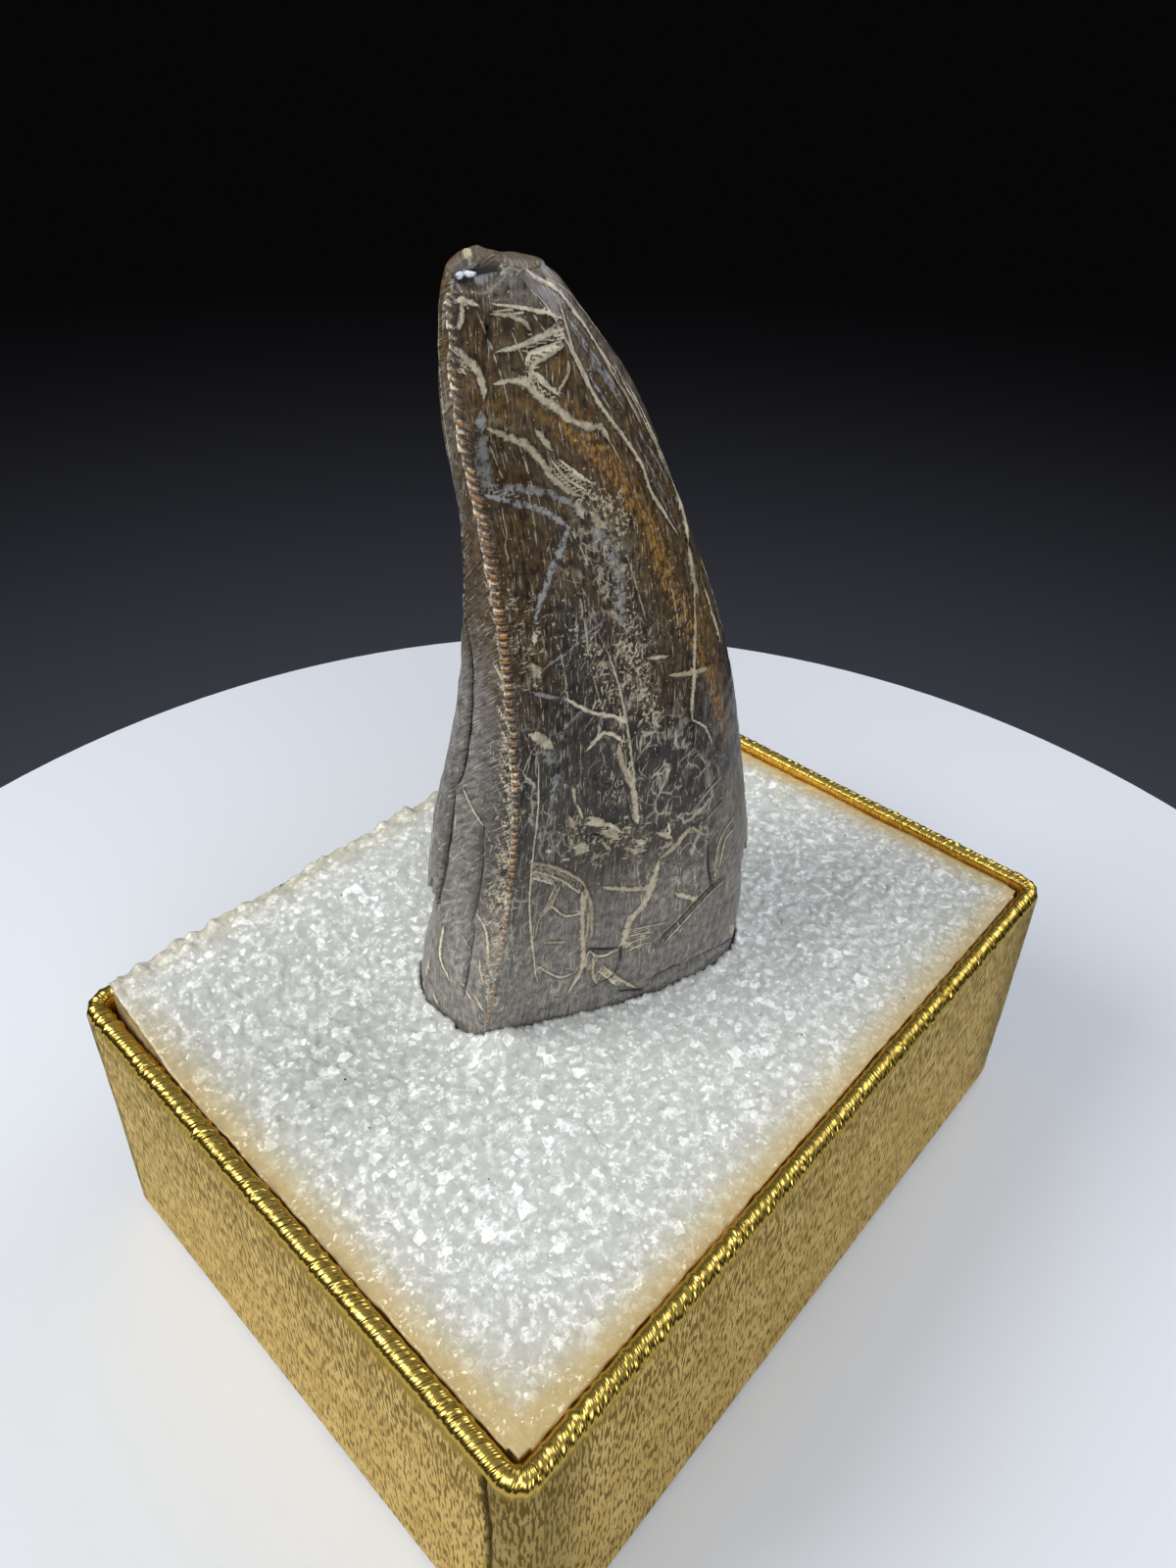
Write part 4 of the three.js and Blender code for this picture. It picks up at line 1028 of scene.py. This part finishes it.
def mark_fields(points, normals):
    """Every marking of the tooth at the given points: the lines, then the soft patches, three to a field."""
    fields = {name: measure_routes(points, normals, routes) for name, routes in ROUTES.items()}
    level = points[:, 2] + 1.2 * soft_noise(points, 5.0, 61)
    patch = {name: soft_patches(points, spots) for name, spots in patch_spots.items()}
    warm = smooth_step(39, 47, level) * (1 - patch["dark"])
    # The grey lower crown and worn patches: partly wear, partly painted sheen
    worn = np.maximum(patch["worn"], smooth_step(33, 27, level))
    fields["ground"] = np.column_stack([warm, worn, patch["gloss"]])
    fields["grains"] = np.column_stack([patch["rust"], patch["gold"], np.maximum(patch["chalk"], 0.36)])
    fields["haze"] = np.column_stack([patch["cloud_and_sheen"], patch["craze"], patch["dark"]])
    return fields


# The crown's relief: gentle unevenness, veins standing a hair proud, sunk cracks, flakes, and the worn tip with
# its knobs, notches and pit, each given as a pixel, a radius and a rise
TIP_SHAPE = [
    (480, 252, 0.42, 0.2), (470, 258, 0.35, 0.1), (534, 260, 0.34, 0.15), (520, 258, 0.6, -0.3),
    (459, 270, 0.8, -0.45), (487, 268, 0.8, -0.3), (503, 258, 0.6, -0.2), (546, 262, 1.2, -0.9),
]
crown_fields = mark_fields(crown_points, crown_normals)
vein_gap, slate_gap, crack_gap = (crown_fields[name][:, 1] for name in ("vein", "slate", "crack"))
relief = 0.07 * soft_noise(crown_points * (1, 1, 0.4), 2.4, 71) + 0.03 * soft_noise(crown_points, 0.7, 72)
relief += 0.04 * smooth_step(0.08, -0.05, vein_gap) + 0.02 * smooth_step(0.08, -0.05, slate_gap)
relief -= 0.2 * np.exp(-(np.maximum(crack_gap + 0.05, 0) / 0.12) ** 2)
relief -= flake_depth(side_grid, height_grid).ravel() * (1 + 0.15 * soft_noise(crown_points, 0.8, 73))
shaped = crown_points + crown_normals * relief[:, None]
for x, y, radius, rise in TIP_SHAPE:
    gap = np.linalg.norm(crown_points - on_crown(x, y), axis=1) / radius
    shaped += crown_normals * (rise * np.exp(-gap ** 2))[:, None]
top_centre = np.append(tip_centre, CROWN_TOP + TIP_DOME)
bottom_centre = np.append(crown[0].mean(0)[:2], TOOTH_BASE)
crown_all = np.concatenate([shaped, [bottom_centre, top_centre]])
total = crown_rows * crown_columns
crown_faces = [
    smooth_faces,
    fan_faces(np.arange(crown_columns), total, True),
    fan_faces(np.arange(total - crown_columns, total), total + 1, False),
]

# Fossil enamel: apatite stained by iron and manganese, worn to a satin, so dark brown with a soft sheen.
# The mineral in its veins is duller and paler, and its open cracks hold no light, so they are painted black as
# shade, as is the pit at the tip. The real grains are 0.1 mm across and are drawn up to twice that to show.
ENAMEL_BROWN, ENAMEL_AMBER = "33261A", "67502F"
ENAMEL_BLACK, ENAMEL_UMBER = "1C1A18", "403930"
ENAMEL_GREY_DEEP, ENAMEL_GREY = "5A5550", "928E88"
RUST, RUST_DEEP = "C4954E", "80572A"
GOLDEN, GOLDEN_DEEP = "8A6A38", "46331B"
CHALK = "C9BD9F"
CLOUD_SHEEN_GREY = "8C9186"
VEIN_CREAM, VEIN_BUFF = "EADFC2", "B3A686"
SLATE_BLUE, SLATE_GREY = "B6B7B6", "807F7D"
HAIRLINE_PALE = "D6CDB6"
CRACK_SHADE_BLACK = "0E0B09"
PIT_PAINTED_HIGHLIGHT = "E8EEF2"
DENTICLE_ORANGE = "AE7840"
DENTICLE_CREAM_AND_HIGHLIGHT = "E4D6B4"
GAP_SHADE_AND_STAIN = "1C1410"
enamel, enamel_space = start_material("worn_fossil_enamel")
MARK_PARTS = {
    "vein": ("vein_share", "vein_edge", "vein_chance"),
    "slate": ("slate_share", "slate_edge", "slate_chance"),
    "hairline": ("hairline_share", "hairline_edge", "hairline_chance"),
    "crack": ("crack_share", "crack_edge", "crack_chance"),
    "ground": ("warm", "worn", "gloss"),
    "grains": ("rust", "gold", "chalk"),
    "haze": ("cloud_and_sheen", "craze", "dark"),
    "denticle": ("orange", "cream_and_highlight", "gap"),
}
marks = {}
for name, parts in MARK_PARTS.items():
    field = add_node(enamel, "ShaderNodeAttribute", attribute_name=name).outputs["Vector"]
    split = add_node(enamel, "ShaderNodeSeparateXYZ", {"Vector": field})
    marks.update(zip(parts, split.outputs))
skin_space = add_node(enamel, "ShaderNodeAttribute", attribute_name="skin").outputs["Vector"]

# Noises in the skin's own millimetres: name, grain width, grain length, how much finer detail
grains = {}
for name, width, length, detail, shift in (
    ("mottle", 0.45, 0.6, 5.0, 0), ("streaks", 0.15, 3.2, 3.0, 3), ("speckles", 0.2, 0.26, 2.0, 5),
    ("scratches", 0.1, 1.3, 2.0, 7),
    ("rust", 0.17, 0.46, 2.0, 9), ("ragged", 0.3, 0.3, 3.0, 13), ("drift", 1.5, 1.9, 2.0, 17),
):
    space = add_node(enamel, "ShaderNodeMapping", {
        "Vector": skin_space, "Location": (shift, shift, shift), "Scale": (1 / width, 1 / length, 1),
    })
    grains[name] = add_node(enamel, "ShaderNodeTexNoise", {
        "Vector": space, "Scale": 1.0, "Detail": detail, "Roughness": 0.62,
    })
fine_tone = add_node(enamel, "ShaderNodeMapRange", {"Value": grains["mottle"], "From Min": 0.38, "From Max": 0.66})
grounds = {}
for name, first, second in (("warm", ENAMEL_BROWN, ENAMEL_AMBER), ("dark", ENAMEL_BLACK, ENAMEL_UMBER),
                            ("worn", ENAMEL_GREY_DEEP, ENAMEL_GREY), ("gold", GOLDEN_DEEP, GOLDEN)):
    grounds[name] = add_node(enamel, "ShaderNodeMixRGB", {
        "Fac": fine_tone, "Color1": linear(first), "Color2": linear(second),
    })
layer = grounds["dark"]
# The grey ground is partly wear and partly painted sheen
for mark, ground in ((marks["warm"], "warm"), (marks["worn"], "worn"), (marks["gold"], "gold")):
    layer = add_node(enamel, "ShaderNodeMixRGB", {"Fac": mark, "Color1": layer, "Color2": grounds[ground]})
# A pale grey-green haze: partly the enamel's own clouding, partly painted sheen
cloud_and_sheen_on = add_node(enamel, "ShaderNodeMath", {0: marks["cloud_and_sheen"], 1: fine_tone}, operation="MULTIPLY")
layer = add_node(enamel, "ShaderNodeMixRGB", {"Fac": cloud_and_sheen_on, "Color1": layer, "Color2": linear(CLOUD_SHEEN_GREY)})

# Growth lines that run up the crown, worn pale or stained dark
for name, low, high, colour, strength in (
    ("streaks", 0.56, 0.7, "A0967F", 0.3), ("streaks", 0.46, 0.34, "120F0D", 0.6),
    ("scratches", 0.61, 0.69, "C8BFA8", 0.75),
):
    shown = add_node(enamel, "ShaderNodeMapRange", {
        "Value": grains[name], "From Min": low, "From Max": high, "To Max": strength,
    })
    layer = add_node(enamel, "ShaderNodeMixRGB", {"Fac": shown, "Color1": layer, "Color2": linear(colour)})

# A net of healed crazing: pale lines between cells a few millimetres across, bent and broken by the slow drift
bend = add_node(enamel, "ShaderNodeVectorMath", {0: grains["drift"].outputs["Color"], 1: (1.6, 1.6, 0)},
                operation="MULTIPLY")
bent_skin = add_node(enamel, "ShaderNodeVectorMath", {0: skin_space, 1: bend}, operation="ADD")
for width, length, line in ((1.5, 2.7, 0.03), (0.8, 1.3, 0.035)):
    space = add_node(enamel, "ShaderNodeMapping", {"Vector": bent_skin, "Scale": (1 / width, 1 / length, 1)})
    walls = add_node(enamel, "ShaderNodeTexVoronoi", {"Vector": space, "Scale": 1.0}, feature="DISTANCE_TO_EDGE")
    thin = add_node(enamel, "ShaderNodeMapRange", {
        "Value": walls, "From Min": line * 0.5, "From Max": line * 1.5, "To Min": 0.65, "To Max": 0.0,
    })
    broken = add_node(enamel, "ShaderNodeMapRange", {"Value": grains["drift"], "From Min": 0.46, "From Max": 0.54})
    shown = add_node(enamel, "ShaderNodeMath", {0: thin, 1: broken}, operation="MULTIPLY")
    shown = add_node(enamel, "ShaderNodeMath", {0: shown, 1: marks["craze"]}, operation="MULTIPLY")
    layer = add_node(enamel, "ShaderNodeMixRGB", {"Fac": shown, "Color1": layer, "Color2": linear(HAIRLINE_PALE)})

# Grains of rust and chalk: the stronger the patch, the lower the noise has to be to show
rust_tint = add_node(enamel, "ShaderNodeMixRGB", {
    "Fac": fine_tone, "Color1": linear(RUST_DEEP), "Color2": linear(RUST),
})
for patch, noise, colour in (("rust", "rust", rust_tint), ("chalk", "speckles", linear(CHALK))):
    need = add_node(enamel, "ShaderNodeMapRange", {"Value": marks[patch], "To Min": 0.76, "To Max": 0.47})
    over = add_node(enamel, "ShaderNodeMath", {0: grains[noise], 1: need}, operation="SUBTRACT")
    shown = add_node(enamel, "ShaderNodeMapRange", {"Value": over, "From Min": 0.0, "From Max": 0.05, "To Max": 0.9})
    layer = add_node(enamel, "ShaderNodeMixRGB", {"Fac": shown, "Color1": layer, "Color2": colour})

# Lines: the share of the half width, made ragged, is cut at 1, and a stain darkens the enamel just outside. Beside
# a crack that darkening is painted shade, and the crack is painted black as shade
wobble = add_node(enamel, "ShaderNodeMapRange", {
    "Value": grains["ragged"], "From Min": 0.3, "From Max": 0.7, "To Min": -0.5, "To Max": 0.5,
})
lines_on = {}
for mark, first, second, strength, raggedness, halo, least in (
    ("slate", SLATE_BLUE, SLATE_GREY, 0.8, 1.5, 0.25, 0.05), ("vein", VEIN_CREAM, VEIN_BUFF, 1.0, 1.2, 0.5, 0.6),
    ("hairline", HAIRLINE_PALE, VEIN_BUFF, 0.85, 1.2, 0.0, 0.0),
    ("crack", CRACK_SHADE_BLACK, CRACK_SHADE_BLACK, 1.0, 0.7, 0.3, 1.0),
):
    sway = add_node(enamel, "ShaderNodeMath", {0: wobble, 1: raggedness}, operation="MULTIPLY")
    swayed = add_node(enamel, "ShaderNodeMath", {0: marks[mark + "_share"], 1: sway}, operation="ADD")
    distance = add_node(enamel, "ShaderNodeMath", {0: swayed}, operation="ABSOLUTE")
    close = add_node(enamel, "ShaderNodeMath", {0: marks[mark + "_edge"], 1: 0.13}, operation="LESS_THAN")
    if halo:
        near = add_node(enamel, "ShaderNodeMapRange", {
            "Value": marks[mark + "_edge"], "From Min": 0.03, "From Max": 0.22, "To Min": halo, "To Max": 0.0,
        })
        layer = add_node(enamel, "ShaderNodeMixRGB", {"Fac": near, "Color1": layer, "Color2": linear(GAP_SHADE_AND_STAIN)})
    core = add_node(enamel, "ShaderNodeMapRange", {
        "Value": distance, "From Min": 0.6, "From Max": 1.25, "To Min": strength, "To Max": 0.0,
    })
    shown = add_node(enamel, "ShaderNodeMath", {0: core, 1: close}, operation="MULTIPLY")
    gaps = add_node(enamel, "ShaderNodeMapRange", {
        "Value": grains["mottle"], "From Min": 0.4, "From Max": 0.54, "To Min": least,
    })
    shown = add_node(enamel, "ShaderNodeMath", {0: shown, 1: gaps}, operation="MULTIPLY")
    tone = add_node(enamel, "ShaderNodeMath", {0: grains["speckles"], 1: marks[mark + "_chance"]}, operation="ADD")
    toned = add_node(enamel, "ShaderNodeMapRange", {"Value": tone, "From Min": 0.45, "From Max": 1.5})
    tint = add_node(enamel, "ShaderNodeMixRGB", {"Fac": toned, "Color1": linear(first), "Color2": linear(second)})
    layer = add_node(enamel, "ShaderNodeMixRGB", {"Fac": shown, "Color1": layer, "Color2": tint})
    lines_on[mark] = shown

# The pit of the tip is painted black as shade and glassy, with a painted highlight where the gloss patch is strongest
pit_highlight = add_node(enamel, "ShaderNodeMapRange", {"Value": marks["gloss"], "From Min": 0.55, "From Max": 0.8})
painted_pit_highlight = add_node(enamel, "ShaderNodeMath", {0: pit_highlight, 1: lines_on["crack"]}, operation="MULTIPLY")
layer = add_node(enamel, "ShaderNodeMixRGB", {"Fac": painted_pit_highlight, "Color1": layer, "Color2": linear(PIT_PAINTED_HIGHLIGHT)})
# Denticles: orange stain, cream tips with a painted highlight, and painted shade in the gaps
for part, colour in (("orange", DENTICLE_ORANGE), ("cream_and_highlight", DENTICLE_CREAM_AND_HIGHLIGHT), ("gap", GAP_SHADE_AND_STAIN)):
    ragged_part = add_node(enamel, "ShaderNodeMath", {0: marks[part], 1: wobble}, operation="ADD")
    shown = add_node(enamel, "ShaderNodeMapRange", {"Value": ragged_part, "From Min": 0.35, "From Max": 0.75})
    shown = add_node(enamel, "ShaderNodeMath", {0: shown, 1: marks[part]}, operation="MULTIPLY")
    layer = add_node(enamel, "ShaderNodeMixRGB", {"Fac": shown, "Color1": layer, "Color2": linear(colour)})

dull = add_node(enamel, "ShaderNodeMapRange", {"Value": lines_on["vein"], "To Min": 0.36, "To Max": 0.55})
polish = add_node(enamel, "ShaderNodeMath", {0: marks["gloss"], 1: 0.2}, operation="MULTIPLY")
duller = add_node(enamel, "ShaderNodeMath", {0: dull, 1: polish}, operation="SUBTRACT")
glassy = add_node(enamel, "ShaderNodeMath", {0: lines_on["crack"], 1: 0.1}, operation="MULTIPLY")
enamel_gloss = add_node(enamel, "ShaderNodeMath", {0: duller, 1: glassy}, operation="SUBTRACT")
streak_bump = add_node(enamel, "ShaderNodeBump", {"Height": grains["streaks"], "Distance": 0.04 * MM, "Strength": 0.6})
grain_bump = add_node(enamel, "ShaderNodeBump", {
    "Height": grains["speckles"], "Distance": 0.035 * MM, "Strength": 0.6, "Normal": streak_bump,
})
enamel_shader = add_node(enamel, "ShaderNodeBsdfPrincipled", {
    "Base Color": layer, "Roughness": enamel_gloss, "IOR": 1.6, "Normal": grain_bump,
})
add_node(enamel, "ShaderNodeOutputMaterial", {"Surface": enamel_shader})

tooth = make_piece("fossil_tooth_crown", crown_all, crown_faces, enamel)
around = np.concatenate([
    np.zeros((crown_rows, 1)),
    np.cumsum(np.linalg.norm(np.diff(crown, axis=1), axis=2), axis=1),
], 1)
skin = np.stack([around, height_grid, np.zeros(around.shape)], -1).reshape(-1, 3)
ends_marks = mark_fields(np.array([bottom_centre, top_centre]), np.array([[0, 0, -1.0], [0, 0, 1.0]]))
for name, values in crown_fields.items():
    store(tooth, name, np.concatenate([values, ends_marks[name]]))
store(tooth, "denticle", np.zeros(crown_all.shape))
store(tooth, "skin", np.concatenate([skin, [[0, TOOTH_BASE, 0], [0, CROWN_TOP, 0]]]))
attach(tooth, "root")
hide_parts("fossil_tooth")

# Serrated edge: about ninety-five denticles, grown as one row along the crown's cutting edge. Each is a small
# chisel across the edge with a dark gap before the next, painted dark as shade, stained orange, with worn cream tips
# and a painted highlight along its upper edge.
PITCH = 0.46
SERRATION_LOW = 20.2
SERRATION_HIGH = 64.3
EDGE_ROW_STEP = 0.046
EDGE_COLUMNS = 17
EDGE_HALF_BY_HEIGHT = ((20, 28, 34, 44, 50, 60, 64), (0.24, 0.3, 0.4, 0.5, 0.62, 0.52, 0.36))
ORANGE_BY_HEIGHT = ((20, 36, 44, 47, 56, 57, 59, 61, 64), (0.85, 0.85, 0.85, 1.0, 1.0, 0.45, 0.7, 0.3, 0.15))
CREAM_BY_HEIGHT = ((20, 36, 46, 56, 60, 64), (0.5, 0.6, 0.7, 0.9, 1.0, 0.9))
edge_levels = np.arange(SERRATION_LOW, SERRATION_HIGH, EDGE_ROW_STEP)
across = np.linspace(-1, 1, EDGE_COLUMNS)
root_here = crown_point(0.0, edge_levels)
step_left = np.linalg.norm(crown_point(-0.05, edge_levels) - root_here, axis=1) / 0.05
step_right = np.linalg.norm(crown_point(0.05, edge_levels) - root_here, axis=1) / 0.05
edge_width = np.interp(edge_levels, *EDGE_HALF_BY_HEIGHT)[:, None]
edge_side = across[None, :] * edge_width / np.where(across < 0, step_left[:, None], step_right[:, None])
edge_level = np.broadcast_to(edge_levels[:, None], edge_side.shape)
edge_base = crown_point(edge_side, edge_level)
edge_out = crown_point(0.0, edge_levels, 1.0) - root_here
edge_out = (edge_out / np.linalg.norm(edge_out, axis=1, keepdims=True))[:, None, :]
slant = 0.8 * smooth_step(46, 58, edge_level) - 0.1
level_noise = soft_noise(root_here, 2.1, 81)[:, None]
phase = (edge_level - SERRATION_LOW + slant * across[None, :] * edge_width + 0.12 * level_noise) / PITCH
own = np.floor(phase)
share = phase - own
luck, luck_width, luck_orange, luck_cream = (hashed(own, np.zeros_like(own), seed) for seed in (31, 32, 33, 34))
body = smooth_step(1.0, 0.62, np.abs(2 * share - 1) / (0.74 + 0.22 * luck_width))
reach_left, reach_right = 0.75 + 0.25 * luck, 0.5 + 0.5 * luck_orange
sideways = np.where(across[None, :] < 0, -across[None, :] / reach_left, across[None, :] / reach_right)
taper = smooth_step(1.05, 0.45, sideways)
strong = np.interp(edge_level, (22, 34, 46), (0.7, 0.85, 1.0))
rise = (0.05 + 0.24 * body * (0.6 + 0.5 * luck)) * strong * taper
edge_points = edge_base + edge_out * (rise - 0.1 * (1 - smooth_step(1.0, 0.6, np.abs(across))[None, :]))[..., None]
edge_inner = edge_base[:, ::-1][:, 1:-1] - edge_out * 0.45
edge_ring = np.concatenate([edge_points, edge_inner], 1)
edge_rows, edge_columns = edge_ring.shape[:2]
edge_flat = edge_ring.reshape(-1, 3)
edge_ends = [edge_ring[0].mean(0), edge_ring[-1].mean(0)]
edge_all = np.concatenate([edge_flat, edge_ends])
edge_total = edge_rows * edge_columns
edge_faces = [
    ring_faces(edge_rows, edge_columns),
    fan_faces(np.arange(edge_columns), edge_total, True),
    fan_faces(np.arange(edge_total - edge_columns, edge_total), edge_total + 1, False),
]
serrations = make_piece("serrated_edge", edge_all, edge_faces, enamel)
edge_normals = np.concatenate([np.broadcast_to(edge_out, edge_ring.shape).reshape(-1, 3), [[0, 0, -1], [0, 0, 1]]])

# Stains and painted light: an orange middle, a worn cream left tip, a cream painted highlight along the upper
# edge, and painted shade in the gap between two denticles
grit = soft_noise(edge_points.reshape(-1, 3), 0.16, 82).reshape(edge_side.shape)
orange = body * np.exp(-((across[None, :] - 0.05) / 0.5) ** 2) * np.interp(edge_level, *ORANGE_BY_HEIGHT)
orange = orange * (0.5 + 0.7 * luck_orange) + 0.25 * grit
tip_side = np.exp(-((across[None, :] + 0.5) / 0.26) ** 2)
lit_top_side = np.exp(-((share - 0.72) / 0.14) ** 2) * np.exp(-((across[None, :] + 0.1) / 0.5) ** 2)
cream_and_highlight = body * np.maximum(tip_side, 0.7 * lit_top_side) * np.interp(edge_level, *CREAM_BY_HEIGHT)
cream_and_highlight = cream_and_highlight * (0.65 + 0.95 * luck_cream) + 0.3 * grit * body
gap_shade = (1 - body) * smooth_step(1.0, 0.7, sideways) * np.interp(edge_level, (22, 32, 44), (0.4, 0.7, 1.0))
stains = np.zeros(edge_ring.shape)
stains[:, :EDGE_COLUMNS] = np.clip(np.stack([orange, cream_and_highlight, gap_shade], -1), 0, 1) * taper[..., None]
edge_skin = np.stack([
    np.concatenate([edge_side * 8, edge_side[:, ::-1][:, 1:-1] * 8], 1), edge_ring[:, :, 2],
    np.zeros(edge_ring.shape[:2]),
], -1).reshape(-1, 3)
for name, values in mark_fields(edge_all, edge_normals).items():
    store(serrations, name, values)
store(serrations, "denticle", np.concatenate([stains.reshape(-1, 3), np.zeros((2, 3))]))
store(serrations, "skin", np.concatenate([edge_skin, edge_skin[:2]]))
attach(serrations, "root")
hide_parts("fossil_tooth")

# Floor: a plain pale round table top
FLOOR_RADIUS = 76.0
FLOOR_PALE = "CFD2D6"
floor_white, _ = start_material("matt_white_table")
floor_shader = add_node(floor_white, "ShaderNodeBsdfPrincipled", {"Base Color": linear(FLOOR_PALE), "Roughness": 0.6})
add_node(floor_white, "ShaderNodeOutputMaterial", {"Surface": floor_shader})
floor_turns = np.linspace(0, 2 * math.pi, 128, endpoint=False)
floor_ring = np.column_stack([np.cos(floor_turns), np.sin(floor_turns), np.zeros(128)]) * FLOOR_RADIUS
floor_points = np.concatenate([floor_ring + (0, 0, -0.02), floor_ring + (0, 0, -6), [[0, 0, -0.02], [0, 0, -6]]])
floor = make_piece("pale_floor", floor_points, [
    ring_faces(2, 128)[:, ::-1], fan_faces(np.arange(128), 256, False), fan_faces(np.arange(128, 256), 257, True),
], floor_white, smooth=False)

# Studio light: a large soft box to the upper left, a fill from beside the camera and a dim white ceiling.
# The room below is dark, as behind the photographed table.
CEILING = "9EA2A8"
ROOM_DARK = "080708"
ROOM_BELOW = "4A4D56"
scene = bpy.context.scene
scene.view_settings.view_transform = "Standard"
world = bpy.data.worlds.new("studio_room")
scene.world = world
world.use_nodes = True
view_line = add_node(world, "ShaderNodeTexCoord").outputs["Generated"]
view_height = add_node(world, "ShaderNodeSeparateXYZ", {"Vector": view_line}).outputs["Z"]
below = add_node(world, "ShaderNodeMapRange", {
    "Value": view_height, "From Min": -0.82, "From Max": -0.2,
}, interpolation_type="SMOOTHSTEP")
above = add_node(world, "ShaderNodeMapRange", {
    "Value": view_height, "From Min": 0.02, "From Max": 0.7,
}, interpolation_type="SMOOTHSTEP")
room = add_node(world, "ShaderNodeMixRGB", {"Fac": below, "Color1": linear(ROOM_BELOW), "Color2": linear(ROOM_DARK)})
room = add_node(world, "ShaderNodeMixRGB", {"Fac": above, "Color1": room, "Color2": linear(CEILING)})
world.node_tree.links.new(room.outputs[0], world.node_tree.nodes["Background"].inputs["Color"])
SOFT_BOXES = [
    ("key_soft_box", (-170, 110, 210), 150, 0.63, "FFFFFF"),
    ("camera_side_soft_box", (-140, -190, 170), 170, 0.36, "F6F8FF"),
    ("right_soft_box", (190, -60, 190), 170, 0.28, "F2F5FF"),
]
for name, spot, size, power, colour in SOFT_BOXES:
    light_data = bpy.data.lights.new(name, "AREA")
    light_data.shape = "DISK"
    light_data.size = size * MM
    light_data.energy = power
    light_data.color = linear(colour)[:3]
    light = bpy.data.objects.new(name, light_data)
    light.location = Vector(spot) * MM
    light.rotation_euler = (Vector((0, 0, 25)) - Vector(spot)).to_track_quat("-Z", "Y").to_euler()
    scene.collection.objects.link(light)

bpy.context.view_layer.update()
